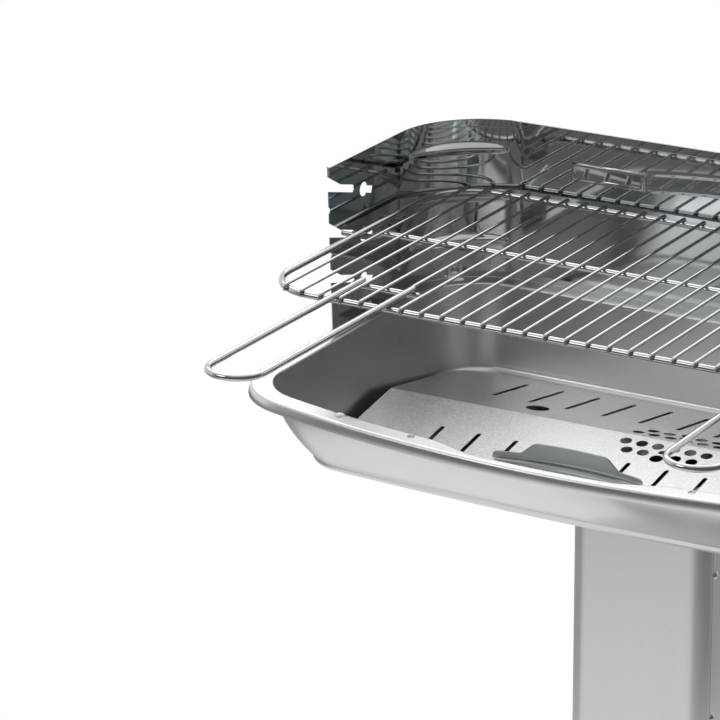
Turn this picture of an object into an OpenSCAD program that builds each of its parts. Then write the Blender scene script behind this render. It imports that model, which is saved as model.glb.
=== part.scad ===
// Charcoal grill with a bow-fronted fire pan on a square hollow column.
// A chromed wire grid hangs in the notches of a three-sided windshield.
// Millimetres, the ground is at height zero, the column stands on the Z axis.
// The front of the grill looks towards minus Y.

/* [Fire pan] */
// height of the pan's flat rim above the ground
rim_h = 735; // [500:1:900]
// half of the pan's opening from side to side
pan_half_w = 313; // [200:1:400]
// rear edge of the opening, behind the column's middle
pan_back_y = 162; // [100:1:260]
// middle of the front edge of the opening, in front of the column's middle
pan_front_y = 236; // [150:1:300]
// how far the front edge bows out over the reference length
pan_bow = 31; // [5:1:50]
// half length over which the bow is counted
pan_bow_len = 250; // [150:1:350]
// extra bow of the opening's edge in front of the lift tab
pan_bulge = 11.5; // [0:0.5:14]
// half length of the full extra bow
pan_bulge_flat = 58; // [30:1:90]
// length over which the extra bow fades out
pan_bulge_fade = 62; // [30:1:90]
// corner radius of the opening at the front
pan_front_r = 57; // [40:1:80]
// corner radius of the opening at the rear
pan_back_r = 68; // [50:1:80]
// depth from the rim to the floor
pan_depth = 81.5; // [60:0.5:110]
// how far the side walls lean in from the opening to the floor
wall_in_side = 17.5; // [0:0.5:40]
// how far the rear wall leans in from the opening to the floor
wall_in_back = 16; // [0:0.5:40]
// how far the front wall leans in from the opening to the floor
wall_in_front = 67.5; // [20:0.5:100]
// bow of the front wall at the floor over the reference length
floor_bow = 10.6; // [0:0.1:30]
// front corner radius at the floor
floor_front_r = 46; // [30:1:100]
// rear corner radius at the floor
floor_back_r = 45; // [30:1:60]
// rounding between walls and floor
floor_round_r = 7; // [4:0.5:12]
// width of the flat step round the recessed floor
floor_step_w = 21; // [6:1:30]
// extra width of the step at the front
step_front_w = 28; // [0:1:50]
// slope width of the recess
recess_slope = 4; // [2:0.5:8]
// depth of the recessed floor panel
recess_depth = 4; // [1:0.5:8]
// sheet thickness of the pan
pan_t = 1; // [0.8:0.1:2]
// width of the rim from the opening's edge to its outside
rim_w = 23.5; // [18:0.5:35]
// rounding of the opening's edge
rim_edge_r = 3; // [1:0.5:5]
// rounding of the rim's outer edge
lip_r = 3.6; // [2:0.1:6]
// height of the turned down lip
lip_h = 9.5; // [6:0.5:16]
// distance of the ash opening's edge from the column's outside
ash_hole_in = 26; // [6:0.5:40]

/* [Rim fittings] */
// distance of the domed screws from the pan's opening at the sides
rim_screw_side = 102.3; // [60:0.1:160]
// distance of the domed screws from the opening's front edge
rim_screw_in = 6.4; // [5.5:0.1:12]
// radius of the domed heads
rim_head_r = 5.5; // [4:0.1:7]
// height of the domed heads
rim_head_h = 2.6; // [1.5:0.1:4]
// radius over the corners of the domed screws' nuts
rim_nut_r = 4; // [3.5:0.1:4.5]
// radius of the screws' shanks
rim_shank_r = 2.5; // [2:0.1:3.5]
// distance of the plain holes from the pan's opening at the sides
rim_hole_side = 180.8; // [165:0.1:250]
// distance of the plain holes from the opening's front edge
rim_hole_in = 7.5; // [6:0.1:14]
// radius of the plain holes
rim_hole_r = 3.5; // [1.5:0.1:4.5]

/* [Charcoal plate] */
// distance of the plate's ends from the side walls at the floor
plate_side_play = 9.5; // [2:0.5:30]
// distance of the plate's rear edge from the rear wall at the floor
plate_back_play = 8.5; // [2:0.5:30]
// fall of each slope for one unit of depth
plate_fall_share = 0.165; // [0.08:0.005:0.3]
// sheet thickness of the plate
plate_t = 1.2; // [0.8:0.1:2]
// corner radius at the front
plate_front_r = 80; // [30:1:100]
// corner radius at the rear
plate_back_r = 38; // [20:1:60]
// number of slots on each slope
slot_count = 12; // [6:2:14]
// distance between slots
slot_pitch = 37.3; // [25:0.1:45]
// distance from the ridge to the slots
slot_start = 47.4; // [44:0.5:60]
// length of a slot
slot_len = 68.1; // [30:0.1:80]
// width of a slot
slot_w = 3.4; // [2.5:0.1:8]
// pitch of the hole cluster in the middle
cluster_pitch = 15.8; // [12.5:0.1:18]
// ridge distance of the first hole row
row_one_d = 12.4; // [9:0.1:13]
// ridge distance of the second hole row
row_two_d = 26.8; // [24:0.1:28]
// radius of the cluster's holes
cluster_r = 5.4; // [3:0.1:5.6]
// ridge distance of the small middle hole
mid_small_d = 20.7; // [18:0.1:21]
// radius of the small middle hole
mid_small_r = 3.2; // [2:0.1:3.6]
// ridge distance of the large middle hole
mid_large_d = 32.4; // [30:0.1:33]
// radius of the large middle hole
mid_large_r = 6; // [4:0.1:7]
// side distance of the large round holes on the rear slope
finger_hole_x = 150; // [100:0.1:200]
// ridge distance of the large round holes
finger_hole_d = 29.4; // [20:0.1:33]
// radius of the large round holes
finger_hole_r = 11; // [8:0.5:12]

/* [Lift tab] */
// distance of the upright tab behind the bulge of the opening's front edge
tab_front_gap = 54.5; // [45:0.5:80]
// depth of the tab's top edge under the rim
tab_top_drop = 1; // [0:0.5:20]
// depth of the brim's upper edge under the rim
tab_brim_drop = 11.5; // [6:0.5:25]
// depth of the fold under the rim
tab_fold_drop = 17; // [12:0.5:30]
// half width of the tab's top edge
tab_top_half = 33; // [20:1:60]
// half width where the brim starts
tab_neck_half = 47; // [30:1:70]
// half width of the brim
tab_brim_half = 71; // [50:1:90]
// sheet thickness of the tab
tab_t = 1.5; // [1:0.1:2.5]
// depth of the foot on the plate
tab_foot_d = 16; // [8:1:30]
// half width of the web where it meets the foot
tab_foot_half = 52; // [30:1:70]

/* [Windshield] */
// height of the windshield over the wires' middle
shield_over = 65.35; // [30:0.05:120]
// distance of the windshield's outside from the pan's opening at the sides
shield_side = 19.6; // [15:0.1:21]
// distance of the windshield's outside from the pan's opening at the rear
shield_rear = 20; // [15:0.1:21]
// lower end of the wings' front edge, in front of the column's middle
shield_front_low = 27; // [10:0.5:100]
// upper end of the wings' front edge
shield_front_top = 34; // [10:0.5:100]
// extra outside radius of the windshield's corners over the pan's
shield_extra_r = 19; // [12:0.5:21]
// sheet thickness of the windshield
shield_t = 0.8; // [0.6:0.1:1.5]
// height of the hem along the top
hem_h = 8.5; // [5:0.5:14]
// how far the hem stands in
hem_t = 1.6; // [0.8:0.1:3]
// distance between the three notches
notch_pitch = 43.1; // [30:0.1:50]
// slant of the notches, falling to the rear
notch_tilt = 15.5; // [0:0.5:25]
// height of a notch over the rod's thickness
notch_room = 1; // [0.4:0.1:3]
// gap under the rod resting in its notch
notch_play = 0.1; // [0.05:0.05:0.5]
// distance from the rod's seat to the notch's flared mouth
flare_start = 22.4; // [12:0.1:30]
// distance from the rod's seat to the cutter's outer end
flare_end = 60; // [50:1:80]
// extra height of the flare at the cutter's outer end
flare_rise = 9.6; // [4:0.1:14]
// radius of the keyholes behind the notches
key_r = 6.7; // [4:0.1:8]
// distance from the rod's seat to the keyhole's middle
key_gap = 21.4; // [14:0.1:30]
// length of the keyholes' slots from the keyhole's middle
key_len = 16.7; // [8:0.1:20]
// height of the keyholes' slots
key_slot_h = 6.7; // [3:0.1:7]
// height of the pointed nicks above the rods' seats
nick_up = 33.3; // [28:0.1:38]
// depth of the pointed nicks
nick_depth = 3.4; // [1:0.1:6]
// how far the pressed corner ledges stand in
ledge_r = 5; // [3:0.1:6]
// ledge's middle below the frame rod's middle
ledge_drop = 6; // [5:0.1:9]
// turn of a ledge round its corner
ledge_sweep_angle = 60; // [30:1:80]
// extra height of the top ledges
ledge_top_lift = 3.5; // [0:0.5:6]
// half length of the pressed band on the back wall
band_half_w = 118; // [60:1:160]
// depth of the band's crown under the windshield's top
band_drop = 24.7; // [16:0.1:50]
// distance between the band's two ribs
band_h = 16.1; // [8:0.1:20]
// radius of the band's arch
band_arc_r = 980; // [600:10:2000]
// radius of the band's ribs
band_rib_r = 1.5; // [0.8:0.1:2.5]
// length of the plain raised panel
panel_w = 76; // [40:1:100]
// depth of the plain raised panel's middle under the windshield's top
panel_drop = 41.1; // [24:0.1:70]
// height of the plain raised panel
panel_h = 18; // [8:0.5:24]
// how far the plain panel is raised
panel_t = 1.2; // [0.6:0.1:2]
// length of the wing feet
foot_len = 60; // [20:1:80]
// distance of the wing feet behind the column's middle
foot_y = 5; // [0:1:30]
// depth of all feet on the rim
foot_d = 13; // [10:0.5:14]
// half width of the pan's upright corner tabs
corner_tab_half = 7; // [5:0.5:10]
// height of the pan's upright corner tabs
corner_tab_h = 13; // [10:0.5:18]
// height of the screws in the corner tabs
corner_screw_h = 8; // [6:0.5:12]
// depth of the slots left by the corner tabs
corner_slot_d = 9; // [5:0.5:11]

/* [Screws] */
// radius of the small screws' shanks
screw_r = 2; // [1.5:0.1:3]
// radius of the small screws' heads
screw_head_r = 3.9; // [3:0.1:5]
// height of the small screws' heads
screw_head_h = 1.8; // [1:0.1:3]
// radius over the corners of the small nuts
nut_r = 4; // [3:0.1:5]
// height of the small nuts
nut_h = 3; // [2:0.1:4]
// play of screws in their holes
screw_play = 0.2; // [0.1:0.05:0.5]

/* [Cooking grid] */
// side shift of the grid in the photograph
grid_shift = 4.8; // [0:0.1:6]
// height of the wires' middle above the rim
wire_mid_h = 90.25; // [70:0.05:120]
// radius of the grid wires
wire_r = 1.5; // [1:0.1:2.5]
// radius of the frame, the bars and the handles
rod_r = 3; // [2.4:0.1:3.2]
// distance between wires
wire_pitch = 20; // [14:0.5:26]
// distance of the frame's side rods from the windshield's outside
frame_side_gap = 19.1; // [14:0.1:40]
// front rod of the frame, in front of the column's middle
frame_front_y = 174.5; // [140:0.5:220]
// distance of the frame's rear rod from the windshield's outside
frame_back_gap = 15.3; // [12:0.1:60]
// corner radius of the frame, rod middle
frame_r = 52; // [30:1:70]
// support bar behind the column's middle
bar_y = 8.9; // [0:0.1:20]
// how far the support bar's ends stand out of the windshield
bar_out = 6.2; // [5.5:0.1:12]
// length over which the bar's ends are set down
bar_set_run = 12; // [6:0.5:20]
// distance of the set from the bar's ends
bar_set_x = 44; // [36:1:60]
// depth of the weld between crossing rods
weld = 0.3; // [0.1:0.05:0.9]

/* [Handles] */
// distance of a handle's middle from the frame's side rod
handle_side = 103.5; // [60:0.5:160]
// half distance between a handle's legs
handle_half = 25; // [18:0.1:40]
// front distance of the handle's end
handle_end_y = 402; // [300:1:450]
// front distance where the legs end
handle_root_y = 130; // [100:1:160]
// distance of the short cross rods' inner ends from the handle's middle
tie_in = 30; // [29:0.5:40]
// distance of the short cross rods' outer ends from the handle's middle
tie_out = 34; // [29:0.5:40]

/* [Column] */
// outside width of the column
column_w = 133; // [90:1:180]
// outside depth of the column
column_d = 140; // [80:1:180]
// outside corner radius of the column
column_r = 17.5; // [8:0.5:25]
// sheet thickness of the column
column_t = 1.2; // [0.8:0.1:2]
// distance of the side seams behind the column's front
seam_y = 19; // [12:0.5:60]
// gap between the two sheets at the seam
seam_gap = 0.6; // [0.2:0.1:2]
// overlap of the two sheets at the seam
seam_lap = 12; // [6:1:20]
// width of the turned flanges at the column's ends
column_flange_w = 18; // [10:1:30]
// sheet thickness of the end flanges
column_flange_t = 2; // [1.2:0.1:4]
// number of slots in each side vent
vent_count = 4; // [2:1:8]
// height of a vent slot
vent_h = 5; // [3:0.5:8]
// width of a vent slot
vent_w = 46; // [30:1:80]
// distance between vent slots
vent_pitch = 13; // [8:0.5:20]

/* [Base] */
// width of the base
base_w = 470; // [300:1:600]
// depth of the base
base_d = 390; // [250:1:500]
// height of the base's skirt
base_h = 24; // [12:1:40]
// corner radius of the base
base_r = 50; // [20:1:80]
// sheet thickness of the base
base_t = 1.5; // [1:0.1:3]
// radius of the feet
pad_r = 15; // [8:0.5:25]
// height of a foot under the base's skirt
pad_h = 12; // [6:0.5:20]
// distance of the feet from the base's edges
pad_inset = 44; // [25:1:80]

/* [Ash drawer] */
// height of the drawer opening above the base
drawer_gap_h = 26; // [10:1:60]
// height of the drawer opening
drawer_open_h = 62; // [30:1:100]
// distance of the drawer opening from the column's sides
drawer_side = 16.5; // [14:0.5:30]
// play round the drawer
drawer_play = 1.5; // [0.5:0.1:3]
// sheet thickness of the drawer
drawer_t = 1; // [0.6:0.1:2]
// inside play between the drawer's end and the column's back
drawer_back_play = 4; // [1:0.5:20]
// how far the drawer front overlaps the opening
drawer_lap = 5; // [2:0.5:8]
// height of the drawer's rails
rail_h = 10; // [5:0.5:15]
// width of the drawer's rails
rail_w = 21; // [12:0.5:30]
// sheet thickness of the rails
rail_t = 1.2; // [0.8:0.1:2]
// radius of the drawer's knob
knob_r = 11; // [6:0.5:16]
// length of the drawer's knob
knob_l = 22; // [12:0.5:30]

/* [Hidden] */
$fn = 48;
eps = pan_t / 20;
right_angle = 90;
half_turn = 180;
full_turn = 360;
wall_power = 1.5;
knuckle_share = 1.03;
// outline of the knob from its seat to its end, as shares of its radius and length
knob_outline_share = [[0.6, 0], [0.5, 0.3], [0.55, 0.5], [1, 0.65], [1, 0.85], [0.8, 1], [0, 1]];
pad_taper_share = 0.85;
front_steps = 24;
corner_steps = 7;
wall_steps = 5;
round_steps = 3;
ledge_end_angle = 1.6;
floor_half_w = pan_half_w - wall_in_side;
floor_back_y = pan_back_y - wall_in_back;
floor_front_y = pan_front_y - wall_in_front;
plate_half_w = floor_half_w - plate_side_play;
plate_half_d = floor_back_y - plate_back_play;
tab_y = pan_front_y + pan_bulge - tab_front_gap;
ash_hole_r = column_d / 2 - ash_hole_in;
rim_screw_x = pan_half_w - rim_screw_side;
rim_hole_x = pan_half_w - rim_hole_side;
shield_h = wire_mid_h + shield_over;
shield_half_w = pan_half_w + shield_side;
shield_back_y = pan_back_y + shield_rear;
shield_r = pan_back_r + shield_extra_r;
notch_h = 2 * rod_r + notch_room;
band_top_h = shield_h - band_drop;
panel_mid_h = shield_h - panel_drop;
frame_half_w = shield_half_w - frame_side_gap;
frame_back_y = shield_back_y - frame_back_gap;
bar_half = shield_half_w + bar_out;
wire_count = 2 * round((frame_half_w - rod_r - wire_r) / wire_pitch);
handle_x = frame_half_w - handle_side;
tie_in_x = handle_x - tie_in;
tie_out_x = handle_x + tie_out;
drawer_open_w = column_w - 2 * drawer_side;
wire_top_h = rim_h + wire_mid_h;
rod_mid_h = wire_top_h - wire_r - rod_r + weld;
bar_set = 2 * rod_r - weld;
bar_end_h = rod_mid_h - bar_set;
leg_mid_h = rod_mid_h + 2 * rod_r - weld;
pan_floor_h = rim_h - pan_depth;
pan_under_h = pan_floor_h - recess_depth - pan_t;
base_top_h = pad_h + base_h;
half_w = column_w / 2;
half_d = column_d / 2;
column_bottom_h = base_top_h + column_flange_t;
column_top_h = pan_under_h - column_flange_t;
ridge_h = pan_floor_h + plate_half_d * plate_fall_share + plate_t / 2 + eps;
plate_angle = atan(plate_fall_share);
plate_slope_d = plate_half_d / cos(plate_angle);
shield_in_x = shield_half_w - shield_t;
shield_in_y = shield_back_y - shield_t;
drawer_floor_h = base_top_h + drawer_gap_h;
drawer_w = drawer_open_w - 2 * drawer_play;
drawer_h = drawer_open_h - 2 * drawer_play;
drawer_front_y = -half_d;
drawer_back_y = half_d - column_t - drawer_back_play;

steel = [0.66, 0.67, 0.68];
pan_grey = [0.6, 0.61, 0.62];
chrome = [0.8, 0.81, 0.83];
zinc = [0.72, 0.73, 0.73];
black = [0.08, 0.08, 0.08];

// blend between two values
function mix(a, b, s) = a + (b - a) * s;

// the front wall leans more towards the floor than at the rim
function front_share(s) = pow(s, wall_power);

// share of the extra bow at a distance from the middle
function bulge_share(x) =
    let (d = (abs(x) - pan_bulge_flat) / pan_bulge_fade)
    d <= 0 ? 1 : d >= 1 ? 0 : (1 + cos(half_turn * d)) / 2;

// one closed outline of the pan, s is the share from rim to floor, back moves its front to the rear
function pan_ring(off, z, s, swell, back) =
    let (
        a = mix(pan_half_w, floor_half_w, s) + off,
        yb = mix(pan_back_y, floor_back_y, s) + off,
        apex = back - mix(pan_front_y, floor_front_y, front_share(s)) - off,
        bow = mix(pan_bow, floor_bow, s),
        rf = mix(pan_front_r, floor_front_r, s) + off,
        rb = mix(pan_back_r, floor_back_r, s) + off,
        lean = atan(2 * bow * (a - rf) / (pan_bow_len * pan_bow_len)),
        xs = a - rf + rf * sin(lean),
        ys = apex + bow * xs * xs / (pan_bow_len * pan_bow_len),
        cy = ys + rf * cos(lean),
        front = [for (i = [0 : front_steps])
            let (x = mix(-xs, xs, i / front_steps))
            [x, apex + bow * x * x / (pan_bow_len * pan_bow_len) - pan_bulge * swell * bulge_share(x), z]],
        fr = [for (i = [1 : corner_steps])
            let (w = mix(lean - right_angle, 0, i / corner_steps))
            [a - rf + rf * cos(w), cy + rf * sin(w), z]],
        br = [for (i = [0 : corner_steps])
            let (w = right_angle * i / corner_steps)
            [a - rb + rb * cos(w), yb - rb + rb * sin(w), z]],
        bl = [for (i = [0 : corner_steps])
            let (w = right_angle + right_angle * i / corner_steps)
            [-a + rb + rb * cos(w), yb - rb + rb * sin(w), z]],
        fl = [for (i = [0 : corner_steps - 1])
            let (w = mix(half_turn, half_turn + right_angle - lean, i / corner_steps))
            [-a + rf + rf * cos(w), cy + rf * sin(w), z]]
    )
    concat(front, fr, br, bl, fl);

// front edge of the opening at a distance from the middle
function front_edge(x) = pan_front_y - pan_bow * x * x / (pan_bow_len * pan_bow_len);
rim_screw_y = front_edge(rim_screw_x) + rim_screw_in;
rim_hole_y = front_edge(rim_hole_x) + rim_hole_in;

// height under the rim of a wall share
function wall_z(s) = -rim_edge_r - s * (pan_depth - rim_edge_r - floor_round_r);

// profile of the pan's upper side from the floor out to the lip, each entry is offset, height, share, swell
// and setback of the front
function upper_side() = concat(
    [[-floor_round_r - floor_step_w - recess_slope, -pan_depth - recess_depth, 1, 0, step_front_w],
     [-floor_round_r - floor_step_w, -pan_depth, 1, 0, step_front_w]],
    [for (i = [0 : round_steps - 1])
        let (w = right_angle * i / round_steps)
        [-floor_round_r * (1 - sin(w)), -pan_depth + floor_round_r * (1 - cos(w)), 1, 0, 0]],
    [for (i = [0 : wall_steps])
        let (s = 1 - i / wall_steps)
        [0, wall_z(s), s, 1 - s, 0]],
    [for (i = [1 : round_steps])
        let (w = right_angle * i / round_steps)
        [rim_edge_r * (1 - cos(w)), -rim_edge_r * (1 - sin(w)), 0, 1, 0]],
    [for (i = [0 : round_steps])
        let (w = right_angle * i / round_steps)
        [rim_w - lip_r * (1 - sin(w)), -lip_r * (1 - cos(w)), 0, 0, 0]],
    [[rim_w, -lip_h, 0, 0, 0]]);

// profile of the pan's under side from the lip back in to the floor
function under_side() = concat(
    [[rim_w - pan_t, -lip_h, 0, 0, 0]],
    [for (i = [round_steps : -1 : 0])
        let (w = right_angle * i / round_steps, r = lip_r - pan_t)
        [rim_w - lip_r + r * sin(w), -lip_r + r * cos(w), 0, 0, 0]],
    [for (i = [round_steps : -1 : 1])
        let (w = right_angle * i / round_steps, r = rim_edge_r - pan_t)
        [rim_edge_r - r * cos(w), -rim_edge_r + r * sin(w), 0, 1, 0]],
    [for (i = [0 : wall_steps])
        let (s = i / wall_steps)
        [pan_t, wall_z(s), s, 1 - s, 0]],
    [for (i = [round_steps - 1 : -1 : 0])
        let (w = right_angle * i / round_steps, r = floor_round_r + pan_t)
        [-floor_round_r + r * sin(w), -pan_depth + floor_round_r - r * cos(w), 1, 0, 0]],
    [[-floor_round_r - floor_step_w + pan_t, -pan_depth - pan_t, 1, 0, step_front_w],
     [-floor_round_r - floor_step_w - recess_slope + pan_t, -pan_depth - recess_depth - pan_t, 1, 0, step_front_w]]);

// the pan's shell as one closed skin
module pan_shell() {
    profile = concat(upper_side(), under_side());
    rings = [for (p = profile) pan_ring(p[0], p[1], p[2], p[3], p[4])];
    n = len(rings[0]);
    m = len(rings);
    points = [for (r = rings) for (p = r) p];
    walls = [for (j = [0 : m - 2]) for (i = [0 : n - 1])
        let (a = j * n + i, b = j * n + (i + 1) % n, c = a + n, d = b + n)
        each [[a, c, b], [b, c, d]]];
    top_cap = [[for (i = [n - 1 : -1 : 0]) i]];
    low_cap = [[for (i = [0 : n - 1]) (m - 1) * n + i]];
    translate([0, 0, rim_h])
    polyhedron(points, concat(top_cap, walls, low_cap));
}

// upright round hole through the rim
module rim_bore(x, y, r) {
    translate([x, y, rim_h - lip_h])
    cylinder(r = r, h = 2 * lip_h);
}

// places of the two screws in the windshield's feet
wing_screw_x = shield_in_x - foot_d / 2;
wing_screw_y = foot_y + foot_len - foot_d;

// middle of the windshield's corner bends and the outer faces of the pan's corner tabs
corner_x = shield_half_w - shield_r;
corner_y = shield_back_y - shield_r;
corner_in_r = shield_r - shield_t;
corner_tab_d = sqrt(corner_in_r * corner_in_r - corner_tab_half * corner_tab_half) - eps;

// puts something at a rear corner, k is the side, X points outwards along the diagonal
module at_corner(k) {
    translate([k * corner_x, corner_y, rim_h])
    rotate([0, 0, k > 0 ? half_turn / 4 : 3 * half_turn / 4])
    children();
}

// places of the four bolts in each of the column's flanges
bolt_x = half_w + column_flange_w / 2;
bolt_y = half_d + column_flange_w / 2;
bolt_places = [[-bolt_x, 0], [bolt_x, 0], [0, -bolt_y], [0, bolt_y]];

// pressed fire pan with its rim, ash opening, screw holes and two upright corner tabs
module fire_pan() {
    color(pan_grey)
    difference() {
        union() {
            pan_shell();
            for (k = [-1, 1])
                at_corner(k)
                translate([corner_tab_d - pan_t, -corner_tab_half, -pan_t / 2])
                cube([pan_t, 2 * corner_tab_half, corner_tab_h + pan_t / 2]);
        }
        translate([0, 0, pan_under_h - pan_depth])
        cylinder(r = ash_hole_r, h = 2 * pan_depth);
        for (k = [-1, 1]) {
            rim_bore(k * wing_screw_x, wing_screw_y, screw_r + screw_play);
            rim_bore(k * rim_screw_x, -rim_screw_y, rim_shank_r + screw_play);
            rim_bore(k * rim_hole_x, -rim_hole_y, rim_hole_r);
            at_corner(k)
            translate([corner_tab_d - pan_t - corner_slot_d, -corner_tab_half, -lip_h])
            cube([corner_slot_d, 2 * corner_tab_half, 2 * lip_h]);
            at_corner(k)
            translate([corner_tab_d - 2 * pan_t, 0, corner_screw_h])
            rotate([0, right_angle, 0])
            cylinder(r = screw_r + screw_play, h = 3 * pan_t);
        }
        for (p = bolt_places)
            translate([p[0], p[1], pan_under_h - pan_t])
            cylinder(r = screw_r + screw_play, h = recess_depth + 2 * pan_t);
    }
}

// low domed head with its flat face down at height zero
module domed_head(r, h) {
    ball = (r * r + h * h) / (2 * h);
    intersection() {
        translate([0, 0, h - ball])
        sphere(r = ball);
        cylinder(r = r, h = h);
    }
}

// screw standing upright, the head's flat face at height zero
module small_screw(length) {
    domed_head(screw_head_r, screw_head_h);
    translate([0, 0, -length])
    cylinder(r = screw_r, h = length + eps);
}

// six-sided nut with its top face at height zero
module small_nut() {
    translate([0, 0, -nut_h])
    difference() {
        cylinder(r = nut_r, h = nut_h, $fn = 6);
        translate([0, 0, -nut_h])
        cylinder(r = screw_r, h = 3 * nut_h);
    }
}

// two domed screws in the front rim
module rim_screws() {
    color(steel)
    for (k = [-1, 1])
        translate([k * rim_screw_x, -rim_screw_y, rim_h]) {
            domed_head(rim_head_r, rim_head_h);
            translate([0, 0, -pan_t - 2 * nut_h])
            cylinder(r = rim_shank_r, h = pan_t + 2 * nut_h + eps);
        }
}

// nuts of the domed screws under the rim
module rim_nuts() {
    color(steel)
    for (k = [-1, 1])
        translate([k * rim_screw_x, -rim_screw_y, rim_h - pan_t - nut_h])
        difference() {
            cylinder(r = rim_nut_r, h = nut_h, $fn = 6);
            translate([0, 0, -nut_h])
            cylinder(r = rim_shank_r, h = 3 * nut_h);
        }
}

// one flat half of the charcoal plate, the ridge on the X axis, running towards plus Y
module plate_half(r, with_finger_holes) {
    difference() {
        union() {
            translate([-plate_half_w, 0, -plate_t / 2])
            cube([2 * plate_half_w, plate_slope_d - r, plate_t]);
            translate([r - plate_half_w, 0, -plate_t / 2])
            cube([2 * (plate_half_w - r), plate_slope_d, plate_t]);
            for (k = [-1, 1])
                translate([k * (plate_half_w - r), plate_slope_d - r, -plate_t / 2])
                cylinder(r = r, h = plate_t);
        }
        for (i = [0 : slot_count - 1])
            translate([(i - (slot_count - 1) / 2) * slot_pitch - slot_w / 2, slot_start, -plate_t])
            cube([slot_w, slot_len, 2 * plate_t]);
        for (i = [-2.5 : 1 : 2.5])
            translate([i * cluster_pitch, row_one_d, -plate_t])
            cylinder(r = cluster_r, h = 2 * plate_t);
        for (i = [-2, -1, 1, 2])
            translate([i * cluster_pitch, row_two_d, -plate_t])
            cylinder(r = cluster_r, h = 2 * plate_t);
        translate([0, mid_small_d, -plate_t])
        cylinder(r = mid_small_r, h = 2 * plate_t);
        translate([0, mid_large_d, -plate_t])
        cylinder(r = mid_large_r, h = 2 * plate_t);
        if (with_finger_holes)
            for (k = [-1, 1])
                translate([k * finger_hole_x, finger_hole_d, -plate_t])
                cylinder(r = finger_hole_r, h = 2 * plate_t);
    }
}

// perforated charcoal plate folded along its middle
module charcoal_plate() {
    color(zinc)
    translate([0, 0, ridge_h])
    union() {
        rotate([-plate_angle, 0, 0])
        plate_half(plate_back_r, true);
        rotate([0, 0, half_turn])
        rotate([-plate_angle, 0, 0])
        plate_half(plate_front_r, false);
        rotate([0, right_angle, 0])
        translate([0, 0, -plate_half_w])
        cylinder(r = plate_t / 2, h = 2 * plate_half_w);
    }
}

// unit normal of the line from one point to the next
function normal_of(a, b) = let (d = b - a) [-d[1], d[0]] / norm(d);

// one side of a bent strip along a line of points, off is the distance to that side
function strip_side(line, off) = [for (i = [0 : len(line) - 1])
    let (
        n0 = normal_of(line[max(i - 1, 0)], line[max(i, 1)]),
        n1 = normal_of(line[min(i, len(line) - 2)], line[min(i + 1, len(line) - 1)])
    )
    line[i] + off * (n0 + n1) / (1 + n0 * n1)];

// hat-shaped tab that lifts the charcoal plate out, bent from one strip
module plate_lift_tab() {
    top = rim_h - tab_top_drop;
    brim = rim_h - tab_brim_drop;
    fold = rim_h - tab_fold_drop;
    soft = (brim - fold) / 2;
    foot_h = ridge_h - plate_half_d * plate_fall_share + (plate_t + tab_t) / 2 / cos(plate_angle);
    line = [[-tab_y, top], [-tab_y, fold], [-plate_half_d, foot_h],
        [tab_foot_d - plate_half_d, foot_h + tab_foot_d * plate_fall_share]];
    side = strip_side(line, tab_t / 2);
    back = strip_side(line, -tab_t / 2);
    color(steel)
    intersection() {
        translate([-tab_brim_half, 0, 0])
        rotate([right_angle, 0, right_angle])
        linear_extrude(height = 2 * tab_brim_half)
        polygon(concat(side, [for (i = [len(back) - 1 : -1 : 0]) back[i]]));
        rotate([right_angle, 0, 0])
        linear_extrude(height = 2 * tab_y)
        polygon([[-tab_foot_half, foot_h - tab_t], [-tab_brim_half, fold], [-tab_brim_half, brim - soft],
            [-tab_brim_half + soft, brim], [-tab_neck_half, brim], [-tab_neck_half + soft, brim + soft / 2],
            [-tab_top_half - 2 * soft, top - soft], [-tab_top_half, top],
            [tab_top_half, top], [tab_top_half + 2 * soft, top - soft],
            [tab_neck_half - soft, brim + soft / 2], [tab_neck_half, brim],
            [tab_brim_half - soft, brim], [tab_brim_half, brim - soft], [tab_brim_half, fold],
            [tab_foot_half, foot_h - tab_t]]);
    }
}

// front edge of the wings at a height above the rim
function wing_front(h) = -mix(shield_front_low, shield_front_top, h / shield_h);

// three-sided wall between two heights above the rim, t is its depth inwards from the outside
module shield_wall(low, high, t) {
    for (k = [-1, 1])
        translate([k * (shield_half_w - t / 2) - t / 2, 0, rim_h])
        rotate([right_angle, 0, right_angle])
        linear_extrude(height = t)
        polygon([[wing_front(low), low], [corner_y, low], [corner_y, high], [wing_front(high), high]]);
    translate([-corner_x, shield_back_y - t, rim_h + low])
    cube([2 * corner_x, t, high - low]);
    for (k = [-1, 1])
        translate([k * corner_x, corner_y, rim_h + low])
        rotate([0, 0, k > 0 ? 0 : right_angle])
        rotate_extrude(angle = right_angle)
        translate([shield_r - t, 0])
        square([t, high - low]);
}

// places a cut through both wings at a rod's seat, X runs to the rear along the notch and Y up
module at_notch(z) {
    translate([-shield_half_w - foot_d, bar_y, z])
    rotate([right_angle, 0, right_angle])
    rotate([0, 0, -notch_tilt])
    children();
}

// notch with its flared mouth and the keyhole behind it
module notch_cut(z) {
    low = -rod_r - notch_play;
    high = notch_h + low;
    span = 2 * (shield_half_w + foot_d);
    at_notch(z) {
        linear_extrude(height = span)
        polygon([[0, low], [0, high], [-flare_start, high], [-flare_end, high + flare_rise], [-flare_end, low]]);
        translate([0, (low + high) / 2, 0])
        cylinder(r = notch_h / 2, h = span);
        translate([key_gap, 0, 0])
        cylinder(r = key_r, h = span);
        translate([key_gap, -key_slot_h / 2, 0])
        cube([key_len, key_slot_h, span]);
    }
}

// small pointed nick in the wings' front edges
module nick_cut(z) {
    front = wing_front(z - rim_h);
    translate([-shield_half_w - foot_d, front, z])
    rotate([right_angle, 0, right_angle])
    linear_extrude(height = 2 * (shield_half_w + foot_d))
    polygon([[nick_depth, 0], [-nick_depth, 2 * nick_depth], [-nick_depth, -2 * nick_depth]]);
}

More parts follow.
